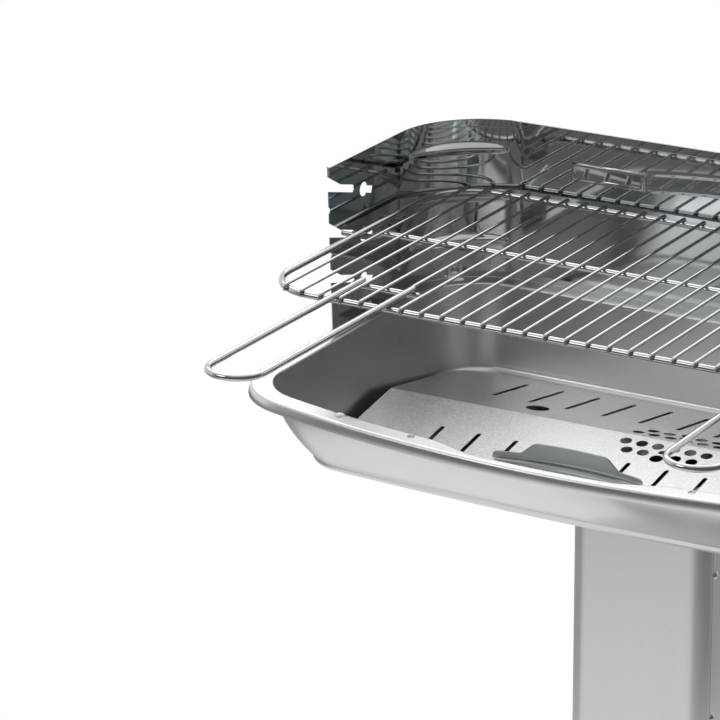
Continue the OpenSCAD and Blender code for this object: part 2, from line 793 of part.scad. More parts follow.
// half round section that bulges towards the turning axis, back is its extra depth behind
function half_round(r, back) = concat([[back, -r], [back, r]],
    [for (i = [0 : 8])
        let (w = right_angle + half_turn * i / 8)
        [r * cos(w), r * sin(w)]]);

// one pressed ledge or its hollow, k is the side and d the section's distance from the corner's middle
module corner_ledge(z, k, r, d, back, sweep) {
    translate([k * corner_x, corner_y, z])
    rotate([0, 0, k > 0 ? half_turn / 4 - sweep / 2 : 3 * half_turn / 4 - sweep / 2])
    rotate_extrude(angle = sweep)
    translate([d, 0])
    polygon(half_round(r, back));
}

// one rib of the band, an arch on the back wall
module band_rib(arc_r, top) {
    turn = 2 * asin(band_half_w / arc_r);
    translate([0, shield_in_y, rim_h + top - arc_r])
    rotate([right_angle, 0, 0])
    rotate([0, 0, right_angle - turn / 2])
    rotate_extrude(angle = turn)
    translate([arc_r, 0])
    rotate([0, 0, -right_angle])
    polygon(half_round(band_rib_r, shield_t / 2));
}

// three-sided windshield with notches, ledges, hem, band and feet
module windshield() {
    ledge_mid = rod_mid_h - ledge_drop;
    ledges = [ledge_mid - notch_pitch, ledge_mid, ledge_mid + notch_pitch + ledge_top_lift];
    color(chrome)
    difference() {
        union() {
            shield_wall(0, shield_h, shield_t);
            shield_wall(shield_h - hem_h, shield_h, shield_t + hem_t);
            for (k = [-1, 1]) {
                for (z = ledges)
                    corner_ledge(z, k, ledge_r, corner_in_r, shield_t / 2, ledge_sweep_angle);
                translate([k * (shield_half_w - (foot_d + shield_t) / 2) - (foot_d + shield_t) / 2, foot_y, rim_h])
                cube([foot_d + shield_t, foot_len, shield_t]);
            }
            band_rib(band_arc_r, band_top_h);
            band_rib(band_arc_r - band_h, band_top_h - band_h);
            translate([-band_half_w - panel_w - 2 * band_rib_r, shield_in_y - panel_t, rim_h + panel_mid_h - panel_h / 2])
            cube([panel_w, panel_t + shield_t / 2, panel_h]);
        }
        for (i = [-1 : 1])
            notch_cut(bar_end_h + i * notch_pitch);
        nick_cut(bar_end_h + nick_up);
        nick_cut(bar_end_h + nick_up - notch_pitch);
        for (k = [-1, 1]) {
            for (z = ledges)
                corner_ledge(z, k, ledge_r - shield_t, corner_in_r, 2 * shield_t, ledge_sweep_angle - ledge_end_angle);
            translate([k * wing_screw_x, wing_screw_y, rim_h - shield_t])
            cylinder(r = screw_r + screw_play, h = 3 * shield_t);
            at_corner(k)
            translate([corner_in_r - shield_t, 0, corner_screw_h])
            rotate([0, right_angle, 0])
            cylinder(r = screw_r + screw_play, h = 3 * shield_t);
        }
    }
}

// two screws in the windshield's feet and two in the pan's corner tabs
module windshield_screws() {
    color(steel)
    for (k = [-1, 1]) {
        translate([k * wing_screw_x, wing_screw_y, rim_h + shield_t])
        small_screw(shield_t + pan_t + nut_h + screw_r / 2);
        at_corner(k)
        translate([corner_tab_d - pan_t, 0, corner_screw_h])
        rotate([0, -right_angle, 0])
        small_screw(pan_t + shield_t + nut_h + screw_r);
    }
}

// their nuts under the rim and behind the windshield
module windshield_nuts() {
    color(steel)
    for (k = [-1, 1]) {
        translate([k * wing_screw_x, wing_screw_y, rim_h - pan_t])
        small_nut();
        at_corner(k)
        translate([shield_r, 0, corner_screw_h])
        rotate([0, -right_angle, 0])
        small_nut();
    }
}

// straight round rod between two points given as start, length and direction
module rod_x(x0, x1, y, z, r) {
    translate([x0, y, z])
    rotate([0, right_angle, 0])
    cylinder(r = r, h = x1 - x0);
}

module rod_y(x, y0, y1, z, r) {
    translate([x, y0, z])
    rotate([-right_angle, 0, 0])
    cylinder(r = r, h = y1 - y0);
}

// quarter bend of a rod in the level plane, turned to one corner
module level_bend(x, y, z, bend, turn, r) {
    translate([x, y, z])
    rotate([0, 0, turn])
    rotate_extrude(angle = right_angle)
    translate([bend, 0])
    circle(r = r);
}

// rounded rectangle of thick rod that carries the grid wires
module grid_frame() {
    w = frame_half_w;
    r = frame_r;
    f = -frame_front_y;
    b = frame_back_y;
    color(chrome)
    translate([-grid_shift, 0, 0])
    union() {
        rod_x(r - w, w - r, f, rod_mid_h, rod_r);
        rod_x(r - w, w - r, b, rod_mid_h, rod_r);
        rod_y(-w, f + r, b - r, rod_mid_h, rod_r);
        rod_y(w, f + r, b - r, rod_mid_h, rod_r);
        level_bend(w - r, b - r, rod_mid_h, r, 0, rod_r);
        level_bend(r - w, b - r, rod_mid_h, r, right_angle, rod_r);
        level_bend(r - w, f + r, rod_mid_h, r, half_turn, rod_r);
        level_bend(w - r, f + r, rod_mid_h, r, half_turn + right_angle, rod_r);
    }
}

// distance from the corner bends' middle line to a wire's bent down end, which keeps to the bend's outside
function wire_end(x, reach) =
    let (d = max(abs(x) - (frame_half_w - frame_r), 0), r = frame_r + reach)
    sqrt(r * r - d * d);

// rounded outside of a sharp bend, a little thicker than its rod
module knuckle(x, y, z, r) {
    translate([x, y, z])
    sphere(r = r * knuckle_share);
}

// one grid wire with both ends bent down outside the frame
module grid_wire(x, y0, y1) {
    drop = wire_top_h - rod_mid_h;
    rod_y(x, y0, y1, wire_top_h, wire_r);
    for (y = [y0, y1]) {
        knuckle(x, y, wire_top_h, wire_r);
        translate([x, y, wire_top_h - drop])
        cylinder(r = wire_r, h = drop);
    }
}

// all wires of the cooking grid
module grid_wires() {
    reach = rod_r + wire_r - weld / 3;
    color(chrome)
    translate([-grid_shift, 0, 0])
    for (i = [0 : wire_count - 1]) {
        x = (i - (wire_count - 1) / 2) * wire_pitch;
        grid_wire(x, frame_r - frame_front_y - wire_end(x, reach), frame_back_y - frame_r + wire_end(x, reach));
    }
}

// one half of the support bar, towards plus X
module bar_side() {
    inner = bar_half - bar_set_x;
    outer = inner + bar_set_run;
    rod_x(0, inner, bar_y, rod_mid_h, rod_r);
    knuckle(inner, bar_y, rod_mid_h, rod_r);
    translate([inner, bar_y, rod_mid_h])
    rotate([0, right_angle + atan(bar_set / bar_set_run), 0])
    cylinder(r = rod_r, h = sqrt(bar_set * bar_set + bar_set_run * bar_set_run));
    knuckle(outer, bar_y, bar_end_h, rod_r);
    rod_x(outer, bar_half - rod_r, bar_y, bar_end_h, rod_r);
    knuckle(bar_half - rod_r, bar_y, bar_end_h, rod_r);
}

// thick bar under the wires whose set-down ends lie in the notches
module grid_support_bar() {
    color(chrome)
    translate([-grid_shift, 0, 0])
    union() {
        bar_side();
        mirror([1, 0, 0])
        bar_side();
    }
}

// short rods under the handles' legs
module grid_tie_wires() {
    color(chrome)
    translate([-grid_shift, 0, 0]) {
        rod_x(tie_in_x, tie_out_x, -handle_root_y, rod_mid_h, rod_r);
        rod_x(-tie_out_x, -tie_in_x, -handle_root_y, rod_mid_h, rod_r);
    }
}

// long loop handle, k is the side
module grid_handle(k) {
    bend_y = handle_half - handle_end_y;
    color(chrome)
    translate([k * handle_x - grid_shift, 0, leg_mid_h])
    union() {
        for (s = [-1, 1]) {
            rod_y(s * handle_half, bend_y, -handle_root_y, 0, rod_r);
            translate([s * handle_half, -handle_root_y, 0])
            sphere(r = rod_r);
        }
        level_bend(0, bend_y, 0, handle_half, half_turn, rod_r);
        level_bend(0, bend_y, 0, handle_half, half_turn + right_angle, rod_r);
    }
}

module grid_handle_left() {
    grid_handle(-1);
}

module grid_handle_right() {
    grid_handle(1);
}

// solid slab with rounded upright corners
module slab(w, d, low, high, r) {
    translate([-w / 2, r - d / 2, low])
    cube([w, d - 2 * r, high - low]);
    translate([r - w / 2, -d / 2, low])
    cube([w - 2 * r, d, high - low]);
    for (a = [-1, 1], b = [-1, 1])
        translate([a * (w / 2 - r), b * (d / 2 - r), low])
        cylinder(r = r, h = high - low);
}

// piece of rounded tube, inset is its distance from the column's outside
module column_tube(low, high, inset, t) {
    difference() {
        slab(column_w - 2 * inset, column_d - 2 * inset, low, high, column_r - inset);
        slab(column_w - 2 * inset - 2 * t, column_d - 2 * inset - 2 * t, low - t, high + t, column_r - inset - t);
    }
}

// front sheet of the column, wrapped round both front corners, with the drawer opening
module column_front() {
    color(steel)
    difference() {
        intersection() {
            column_tube(column_bottom_h, column_top_h, 0, column_t);
            translate([-half_w, -half_d, column_bottom_h])
            cube([column_w, seam_y, column_top_h - column_bottom_h]);
        }
        translate([-drawer_open_w / 2, -half_d - column_r, drawer_floor_h])
        cube([drawer_open_w, 2 * column_r, drawer_open_h]);
    }
}

// heights of the screws along the column's seams
seam_heights = [for (i = [0 : 3]) mix(column_bottom_h + column_w, column_top_h - column_w / 2, i / 3)];

// U-shaped rear sheet of the column with side vents and two joint strips behind the front sheet
module column_rear() {
    vent_low = drawer_floor_h + drawer_open_h + vent_pitch;
    color(steel)
    difference() {
        union() {
            intersection() {
                column_tube(column_bottom_h, column_top_h, 0, column_t);
                translate([-half_w, seam_y + seam_gap - half_d, column_bottom_h])
                cube([column_w, column_d - seam_y, column_top_h - column_bottom_h]);
            }
            for (k = [-1, 1])
                translate([k * (half_w - 3 * column_t / 2) - column_t / 2, column_r - half_d, column_bottom_h])
                cube([column_t, seam_y + seam_lap - column_r, column_top_h - column_bottom_h]);
        }
        for (i = [0 : vent_count - 1], k = [-1, 1])
            translate([k * half_w - column_r, -vent_w / 2 + column_r / 2, vent_low + i * vent_pitch])
            cube([2 * column_r, vent_w, vent_h]);
        for (z = seam_heights)
            translate([-column_w, seam_y + seam_lap / 2 - half_d, z])
            rotate([0, right_angle, 0])
            cylinder(r = screw_r + screw_play, h = 2 * column_w);
    }
}

// small screws along both seams
module column_seam_screws() {
    color(steel)
    for (z = seam_heights, k = [-1, 1])
        translate([k * half_w, seam_y + seam_lap / 2 - half_d, z])
        rotate([0, k * right_angle, 0])
        small_screw(2 * column_t + screw_r);
}

// flat flange with a collar that fits inside the column, low and high are the collar's ends
module end_flange(plate_low, low, high) {
    inset = 2 * column_t + screw_play;
    difference() {
        union() {
            slab(column_w + 2 * column_flange_w, column_d + 2 * column_flange_w,
                plate_low, plate_low + column_flange_t, column_r + column_flange_w);
            column_tube(low, high, inset, column_flange_t);
        }
        slab(column_w - 2 * inset - 2 * column_flange_t, column_d - 2 * inset - 2 * column_flange_t,
            plate_low - column_flange_t, plate_low + 2 * column_flange_t, column_r - inset - column_flange_t);
    }
}

// flange between the column and the pan's floor
module column_top_flange() {
    low = pan_under_h - column_flange_t;
    color(steel)
    difference() {
        end_flange(low, low - column_flange_w, low + column_flange_t);
        for (p = bolt_places)
            translate([p[0], p[1], low - column_flange_t])
            cylinder(r = screw_r + screw_play, h = 3 * column_flange_t);
    }
}

// bolts that hold the pan on the flange
module pan_bolts() {
    color(steel)
    for (p = bolt_places)
        translate([p[0], p[1], pan_under_h + pan_t]) {
            small_screw(pan_t + column_flange_t + nut_h);
            translate([0, 0, -pan_t - column_flange_t])
            small_nut();
        }
}

// flange between the column and the base
module column_foot_flange() {
    color(steel)
    difference() {
        end_flange(base_top_h, base_top_h, base_top_h + column_flange_t + column_flange_w);
        for (p = bolt_places)
            translate([p[0], p[1], base_top_h - column_flange_t])
            cylinder(r = screw_r + screw_play, h = 3 * column_flange_t);
    }
}

// bolts that hold the flange on the base
module base_bolts() {
    color(steel)
    for (p = bolt_places)
        translate([p[0], p[1], base_top_h + column_flange_t]) {
            small_screw(column_flange_t + base_t + nut_h);
            translate([0, 0, -column_flange_t - base_t])
            small_nut();
        }
}

pad_x = base_w / 2 - pad_inset;
pad_y = base_d / 2 - pad_inset;

// pressed base with a turned down skirt
module base_plate() {
    color(pan_grey)
    difference() {
        slab(base_w, base_d, pad_h, base_top_h, base_r);
        slab(base_w - 2 * base_t, base_d - 2 * base_t, pad_h - base_t, base_top_h - base_t, base_r - base_t);
        for (p = bolt_places)
            translate([p[0], p[1], base_top_h - 2 * base_t])
            cylinder(r = screw_r + screw_play, h = 3 * base_t);
    }
}

// one rubber foot
module base_foot(x, y) {
    translate([x, y, 0])
    cylinder(r1 = pad_r * pad_taper_share, r2 = pad_r, h = base_top_h - base_t);
}

// rubber feet under the base's corners and one under the column, which keeps the sheet from dishing
module base_feet() {
    color(black) {
        base_foot(0, 0);
        for (a = [-1, 1], b = [-1, 1])
            base_foot(a * pad_x, b * pad_y);
    }
}

// two angle rails that carry the ash drawer
module drawer_rails() {
    side = half_w - 2 * column_t;
    z = drawer_floor_h + drawer_play;
    color(steel)
    for (k = [-1, 1]) {
        translate([k * (side - rail_t / 2) - rail_t / 2, column_r - half_d, z - rail_t])
        cube([rail_t, column_d - 2 * column_r, rail_h + rail_t]);
        translate([k * (side - rail_w / 2) - rail_w / 2, column_r - half_d, z - rail_t])
        cube([rail_w, column_d - 2 * column_r, rail_t]);
    }
}

// open ash drawer
module ash_drawer() {
    z = drawer_floor_h + drawer_play;
    color(steel)
    difference() {
        translate([-drawer_w / 2, drawer_front_y, z])
        cube([drawer_w, drawer_back_y - drawer_front_y, drawer_h]);
        translate([drawer_t - drawer_w / 2, drawer_front_y + drawer_t, z + drawer_t])
        cube([drawer_w - 2 * drawer_t, drawer_back_y - drawer_front_y - 2 * drawer_t, drawer_h]);
        translate([0, drawer_front_y - drawer_t, drawer_floor_h + drawer_open_h / 2])
        rotate([-right_angle, 0, 0])
        cylinder(r = screw_r + screw_play, h = 3 * drawer_t);
    }
}

// front panel of the ash drawer
module drawer_front() {
    color(steel)
    translate([-drawer_open_w / 2 - drawer_lap, drawer_front_y - drawer_t - drawer_t, drawer_floor_h - drawer_lap])
    difference() {
        cube([drawer_open_w + 2 * drawer_lap, 2 * drawer_t, drawer_open_h + 2 * drawer_lap]);
        translate([drawer_open_w / 2 + drawer_lap, -drawer_t, drawer_open_h / 2 + drawer_lap])
        rotate([-right_angle, 0, 0])
        cylinder(r = screw_r + screw_play, h = 4 * drawer_t);
    }
}

// turned knob of the ash drawer
module drawer_knob() {
    color(black)
    translate([0, drawer_front_y - 2 * drawer_t, drawer_floor_h + drawer_open_h / 2])
    rotate([right_angle, 0, 0])
    rotate_extrude()
    polygon(concat([[0, -3 * drawer_t], [screw_r, -3 * drawer_t], [screw_r, 0]],
        [for (p = knob_outline_share) [p[0] * knob_r, p[1] * knob_l]]));
}

fire_pan();
rim_screws();
rim_nuts();
charcoal_plate();
plate_lift_tab();
windshield();
windshield_screws();
windshield_nuts();
grid_frame();
grid_wires();
grid_support_bar();
grid_tie_wires();
grid_handle_left();
grid_handle_right();
column_front();
column_rear();
column_seam_screws();
column_top_flange();
pan_bolts();
column_foot_flange();
base_bolts();
base_plate();
base_feet();
drawer_rails();
ash_drawer();
drawer_front();
drawer_knob();
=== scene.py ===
"""Looks of the charcoal grill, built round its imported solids.

The fire pan, windshield, cooking grid, charcoal plate and lift tab are made again as smooth skins. The column,
base, drawer and fasteners keep their solids and get a finish.
"""

import logging
import math
from dataclasses import dataclass
from enum import Enum
from typing import Any, Callable, Sequence

import bpy
import numpy as np
from mathutils import Matrix, Vector
from mathutils.geometry import delaunay_2d_cdt

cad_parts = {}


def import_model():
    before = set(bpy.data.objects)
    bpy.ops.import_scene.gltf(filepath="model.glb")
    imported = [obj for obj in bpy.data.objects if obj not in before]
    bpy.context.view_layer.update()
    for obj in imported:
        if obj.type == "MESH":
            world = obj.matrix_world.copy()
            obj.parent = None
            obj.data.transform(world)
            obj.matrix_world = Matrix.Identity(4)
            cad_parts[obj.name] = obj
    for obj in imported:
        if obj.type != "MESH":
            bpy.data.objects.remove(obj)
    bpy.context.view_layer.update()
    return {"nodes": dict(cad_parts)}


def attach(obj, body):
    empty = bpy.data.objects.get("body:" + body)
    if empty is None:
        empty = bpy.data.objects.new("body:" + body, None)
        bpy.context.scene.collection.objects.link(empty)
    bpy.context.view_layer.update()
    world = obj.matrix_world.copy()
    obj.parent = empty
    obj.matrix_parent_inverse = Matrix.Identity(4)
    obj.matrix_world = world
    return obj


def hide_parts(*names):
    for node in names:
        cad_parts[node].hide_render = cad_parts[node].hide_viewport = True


Array = np.ndarray
LOG = logging.getLogger("grill")
# One millimetre in Blender's metres
MM = 0.001
# Height of the pan's rim in millimetres: heights on the pan and the windshield count from it
RIM_H = 735.0
# Distance in millimetres under which two points of a flat sheet are one
TOUCH = 1e-4
# Step in millimetres of the small differences that give a bent sheet its normals
SMALL = 0.05


class Body(Enum):
    """Moving bodies of the grill."""

    STAND = "stand"
    GRID = "cooking_grid"
    TRAY = "charcoal_tray"
    DRAWER = "drawer"


class Coat(Enum):
    """How a finish spreads its pattern."""

    CLOUDS = "clouds"
    GRAIN = "grain"
    SPANGLE = "spangle"


# Materials

def linear(code: str) -> tuple[float, float, float, float]:
    """Turns an sRGB hex colour into linear values by sRGB's own formula: straight in the darks, then a power.

    Args:
        code: Six hex digits after a hash sign.

    Returns:
        Red, green, blue and an alpha of one.
    """
    values = [int(code[i:i + 2], 16) / 255 for i in (1, 3, 5)]
    return tuple(v / 12.92 if v <= 0.04045 else ((v + 0.055) / 1.055) ** 2.4 for v in values) + (1.0,)


def empty_tree(holder: bpy.types.Material | bpy.types.World) -> bpy.types.NodeTree:
    """Switches a material's or world's nodes on and clears them.

    Args:
        holder: The material or world.

    Returns:
        Its empty node tree.
    """
    holder.use_nodes = True
    holder.node_tree.nodes.clear()
    return holder.node_tree


def add_node(tree: bpy.types.NodeTree, kind: str, values: dict[Any, Any] | None = None,
             links: dict[Any, Any] | None = None, **settings: Any) -> bpy.types.Node:
    """Adds one node with its settings, socket values and incoming links.

    Args:
        tree: Node tree that takes the node.
        kind: Blender's name of the node type.
        values: Default values by input name or number.
        links: Output sockets by input name or number.
        **settings: Properties of the node itself.

    Returns:
        The new node.
    """
    node = tree.nodes.new(kind)
    for key, value in settings.items():
        setattr(node, key, value)
    for key, value in (values or {}).items():
        node.inputs[key].default_value = value
    for key, socket in (links or {}).items():
        tree.links.new(socket, node.inputs[key])
    return node


@dataclass(frozen=True)
class Finish:
    """One surface finish. Sizes are in millimetres, colours are sRGB hex values."""

    name: str
    dark: str
    light: str
    metallic: float = 1.0
    rough_low: float = 0.3
    rough_high: float = 0.4
    coat: Coat = Coat.CLOUDS
    size_mm: tuple[float, float, float] = (30.0, 30.0, 30.0)
    fine_mm: float = 0.8
    fine_share: float = 0.3
    grain_stretch: float = 14.0
    contrast: tuple[float, float] = (0.3, 0.7)
    bump_mm: float = 0.02
    wave_mm: float = 0.0
    wave_size_mm: float = 60.0

    def build(self) -> bpy.types.Material:
        """Makes the node material: a broad and a fine pattern are blended, and set colour and roughness.

        Returns:
            The material.
        """
        material = bpy.data.materials.new(self.name)
        tree = empty_tree(material)
        spot = add_node(tree, "ShaderNodeTexCoord").outputs["Object"]
        scaled = add_node(tree, "ShaderNodeMapping", {"Scale": [1 / (s * MM) for s in self.size_mm]},
                          {"Vector": spot}).outputs["Vector"]
        if self.coat is Coat.SPANGLE:
            cells = add_node(tree, "ShaderNodeTexVoronoi", {"Scale": 1.0, "Randomness": 1.0},
                             {"Vector": scaled}).outputs["Color"]
            broad = add_node(tree, "ShaderNodeSeparateColor", {}, {"Color": cells}).outputs[0]
        else:
            broad = add_node(tree, "ShaderNodeTexNoise", {"Scale": 1.0, "Detail": 3.0, "Roughness": 0.5},
                             {"Vector": scaled}).outputs["Fac"]
        fine_spot = add_node(tree, "ShaderNodeMapping", {"Scale": self.fine_scale()}, {"Vector": spot})
        fine = add_node(tree, "ShaderNodeTexNoise", {"Scale": 1.0, "Detail": 2.0, "Roughness": 0.6},
                        {"Vector": fine_spot.outputs["Vector"]}).outputs["Fac"]
        both = add_node(tree, "ShaderNodeMix", {0: self.fine_share}, {2: broad, 3: fine}).outputs[0]
        low, high = self.contrast
        spread = add_node(tree, "ShaderNodeMapRange", {"From Min": low, "From Max": high},
                          {"Value": both}).outputs[0]
        colour = add_node(tree, "ShaderNodeMix", {6: linear(self.dark), 7: linear(self.light)}, {0: spread},
                          data_type="RGBA").outputs[2]
        rough = add_node(tree, "ShaderNodeMapRange", {"To Min": self.rough_low, "To Max": self.rough_high},
                         {"Value": spread}).outputs[0]
        bump = add_node(tree, "ShaderNodeBump", {"Strength": 1.0, "Distance": self.bump_mm * MM},
                        {"Height": fine})
        if self.wave_mm:
            wave_spot = add_node(tree, "ShaderNodeMapping", {"Scale": [1 / (self.wave_size_mm * MM)] * 3},
                                 {"Vector": spot})
            wave = add_node(tree, "ShaderNodeTexNoise", {"Scale": 1.0, "Detail": 0.0},
                            {"Vector": wave_spot.outputs["Vector"]}).outputs["Fac"]
            bump = add_node(tree, "ShaderNodeBump", {"Strength": 1.0, "Distance": self.wave_mm * MM},
                            {"Height": wave, "Normal": bump.outputs["Normal"]})
        shader = add_node(tree, "ShaderNodeBsdfPrincipled", {"Metallic": self.metallic},
                          {"Base Color": colour, "Roughness": rough, "Normal": bump.outputs["Normal"]})
        add_node(tree, "ShaderNodeOutputMaterial", {}, {"Surface": shader.outputs["BSDF"]})
        return material

    def fine_scale(self) -> list[float]:
        """Scale of the fine pattern: even, or drawn out along the sheet's height for a rolled grain."""
        stretch = self.grain_stretch if self.coat is Coat.GRAIN else 1.0
        return [1 / (self.fine_mm * MM), 1 / (self.fine_mm * MM), 1 / (self.fine_mm * stretch * MM)]


# Deep-drawn stainless steel, left satin: broad soft reflections, faintly clouded where the press stretched it
PAN_STEEL = Finish("pressed_satin_stainless", "#C9CBCC", "#D8DADA", rough_low=0.27, rough_high=0.36,
                   size_mm=(70.0, 70.0, 40.0), fine_mm=1.1, fine_share=0.35, bump_mm=0.015)
# Bright annealed stainless sheet: a mirror that is a little wavy, as thin rolled sheet is
MIRROR = Finish("bright_annealed_stainless", "#B9BCBE", "#C6C9CB", rough_low=0.03, rough_high=0.06,
                size_mm=(60.0, 60.0, 60.0), fine_mm=0.9, fine_share=0.2, bump_mm=0.001, wave_mm=0.12)
# Dipped zinc coat: pale and matt with a glitter of crystals, drawn at 1.5 mm so that it shows
ZINC = Finish("galvanised_sheet", "#CBCDCD", "#E2E3E2", rough_low=0.36, rough_high=0.5, coat=Coat.SPANGLE,
              size_mm=(1.5, 1.5, 1.5), fine_mm=0.7, fine_share=0.6, bump_mm=0.012)
# Steel of the lift tab: smooth, and darker than the zinc round it; this darker grey is painted shade on the
# upright tab
TAB_STEEL_PAINTED_SHADE = Finish("tab_steel_painted_shade", "#868A8C", "#929698", rough_low=0.28, rough_high=0.4,
                   size_mm=(25.0, 25.0, 25.0), fine_mm=0.7)
# Chrome plating on drawn wire: sharp bright lines along each wire between dark ones
CHROME = Finish("chromed_wire", "#B0B3B5", "#BEC1C3", rough_low=0.06, rough_high=0.12,
                size_mm=(14.0, 14.0, 14.0), fine_mm=0.8, bump_mm=0.004)
# Bright zinc plating on screws and nuts: shiny with a slight haze
SCREW = Finish("bright_zinc_plating", "#A7A9AB", "#C3C5C6", rough_low=0.22, rough_high=0.34,
               size_mm=(5.0, 5.0, 5.0), fine_mm=0.5)
# Satin stainless sheet with its rolling grain up the column. The real grain is finer: it is drawn at 0.9 mm so
# that it shows
COLUMN_STEEL = Finish("rolled_satin_stainless", "#C6C8C9", "#D2D4D5", rough_low=0.26, rough_high=0.34,
                      coat=Coat.GRAIN, size_mm=(40.0, 40.0, 260.0), fine_mm=0.9, fine_share=0.15,
                      bump_mm=0.006)
# Zinc-plated brackets: dull grey, slightly uneven
BRACKET = Finish("zinc_plated_bracket", "#8F9293", "#A5A8A9", rough_low=0.35, rough_high=0.5,
                 size_mm=(12.0, 12.0, 12.0), fine_mm=0.8, bump_mm=0.03)
# Pressed sheet of the base: satin like the pan, and a little darker
BASE_STEEL = Finish("pressed_satin_base_sheet", "#A5A7A8", "#B7B9BA", rough_low=0.3, rough_high=0.4,
                    size_mm=(70.0, 70.0, 30.0), fine_mm=1.1, bump_mm=0.015)
# Moulded rubber: black and matt with a fine tooth
RUBBER = Finish("moulded_black_rubber", "#1B1B1B", "#262626", metallic=0.0, rough_low=0.6, rough_high=0.75,
                size_mm=(8.0, 8.0, 8.0), fine_mm=0.6, bump_mm=0.06)
# Moulded bakelite: black with a soft gloss
PLASTIC = Finish("moulded_black_bakelite", "#171717", "#222222", metallic=0.0, rough_low=0.28,
                 rough_high=0.38, size_mm=(9.0, 9.0, 9.0), fine_mm=0.7, bump_mm=0.02)


# Meshes

@dataclass
class Skin:
    """Points in millimetres and faces of one closed surface or of several."""

    points: Array
    faces: list[tuple[int, ...]]

    def __add__(self, other: "Skin") -> "Skin":
        """Joins two skins without merging any point.

        Args:
            other: The skin whose points and faces follow this one's.

        Returns:
            The joined skin.
        """
        shift = len(self.points)
        moved = [tuple(i + shift for i in f) for f in other.faces]
        return Skin(np.vstack([self.points, other.points]), self.faces + moved)


def points_of(*coordinates: Any) -> Array:
    """Points from their coordinates, each an array or one value for all points."""
    return np.stack(np.broadcast_arrays(*coordinates), axis=-1).astype(float)


def quarter(radius: float, count: int) -> tuple[Array, Array]:
    """Points of a quarter circle: radius * sin(w) and radius * cos(w), w from 0 to a right angle."""
    w = np.linspace(0, math.pi / 2, count)
    return radius * np.sin(w), radius * np.cos(w)


def loft(rings: Array, wrap: bool = False) -> Skin:
    """Joins closed rings of equal length into one skin: point i of a ring is joined to point i of the next.

    Args:
        rings: Array of rings, points and coordinates; it runs so that faces point outwards.
        wrap: Whether the last ring is joined to the first; otherwise both ends are closed by a flat cap.

    Returns:
        The closed skin.
    """
    m, n = rings.shape[:2]
    row = np.arange(m if wrap else m - 1)[:, None] * n
    col = np.arange(n)[None, :]
    after = (col + 1) % n
    below = (row + n) % (m * n)
    quads = np.stack([row + col, row + after, below + after, below + col], axis=-1).reshape(-1, 4)
    faces = [tuple(q) for q in quads.tolist()]
    if not wrap:
        faces += [tuple(range(n - 1, -1, -1)), tuple(range((m - 1) * n, m * n))]
    return Skin(rings.reshape(-1, 3), faces)


def sweep(path: Array, radius: float, across: Sequence[float], sides: int, closed: bool = False,
          tips: Sequence[float] = (80.0, 60.0, 35.0, 15.0)) -> Skin:
    """Carries a circle along a flat path, with half-round tips where the path is open.

    Ring = path point + radius * (cos(w) * across + sin(w) * (along x across)), w from 0 to a full turn. The
    tips repeat the end points with the circle shrunk to cos(v) and moved out by sin(v) of the radius.

    Args:
        path: Points in millimetres.
        radius: Radius of the rod.
        across: Unit normal of the plane that the path lies in.
        sides: Points round the circle.
        closed: Whether the path's end runs into its start.
        tips: Angles v of a tip's rings in degrees, from its end inwards.

    Returns:
        The rod's skin.
    """
    ahead = np.roll(path, -1, axis=0) - path
    behind = path - np.roll(path, 1, axis=0)
    if not closed:
        ahead[-1], behind[0] = behind[-1], ahead[0]
    ahead /= np.linalg.norm(ahead, axis=1, keepdims=True)
    behind /= np.linalg.norm(behind, axis=1, keepdims=True)
    along = ahead + behind
    along /= np.linalg.norm(along, axis=1, keepdims=True)
    size = np.full(len(path), radius)
    if not closed:
        v = np.radians(tips)
        tip = radius * np.sin(v)[:, None]
        path = np.vstack([path[0] - along[0] * tip, path, path[-1] + along[-1] * tip[::-1]])
        size = np.concatenate([radius * np.cos(v), size, radius * np.cos(v)[::-1]])
        along = np.vstack([np.repeat(along[:1], len(v), 0), along, np.repeat(along[-1:], len(v), 0)])
    first = np.broadcast_to(np.asarray(across, float), along.shape)
    second = np.cross(along, first)
    w = np.linspace(0, 2 * math.pi, sides, endpoint=False)[None, :, None]
    rings = path[:, None] + size[:, None, None] * (np.cos(w) * first[:, None] + np.sin(w) * second[:, None])
    return loft(rings[:, ::-1], closed)


def rounded(corners: Array, radii: Sequence[float], steps: int, closed: bool = False) -> Array:
    """Rounds the corners of a line of points: each corner gives way to an arc that touches both sides.

    The arc starts radius / tan(half the corner's angle) before the corner. Its points are those of a circle
    round the centre that lies on the corner's bisector.

    Args:
        corners: Corner points.
        radii: Radius at each corner; zero keeps the point.
        steps: Steps of each arc.
        closed: Whether the line is a closed loop.

    Returns:
        The points of the rounded line.
    """
    out: list[Array] = []
    last = len(corners) - 1
    for i, (corner, radius) in enumerate(zip(corners, radii)):
        if radius == 0 or (not closed and i in (0, last)):
            out.append(corner[None])
            continue
        back = corners[i - 1] - corner
        on = corners[(i + 1) % (last + 1)] - corner
        back = back / np.linalg.norm(back)
        on = on / np.linalg.norm(on)
        half = math.acos(float(np.clip(back @ on, -1, 1))) / 2
        middle = (back + on) / np.linalg.norm(back + on)
        centre = corner + middle * radius / math.sin(half)
        start = corner + back * radius / math.tan(half) - centre
        end = corner + on * radius / math.tan(half) - centre
        turn = math.pi - 2 * half
        t = np.linspace(0, 1, steps + 1)[:, None]
        out.append(centre + (np.sin((1 - t) * turn) * start + np.sin(t * turn) * end) / math.sin(turn))
    return np.vstack(out)


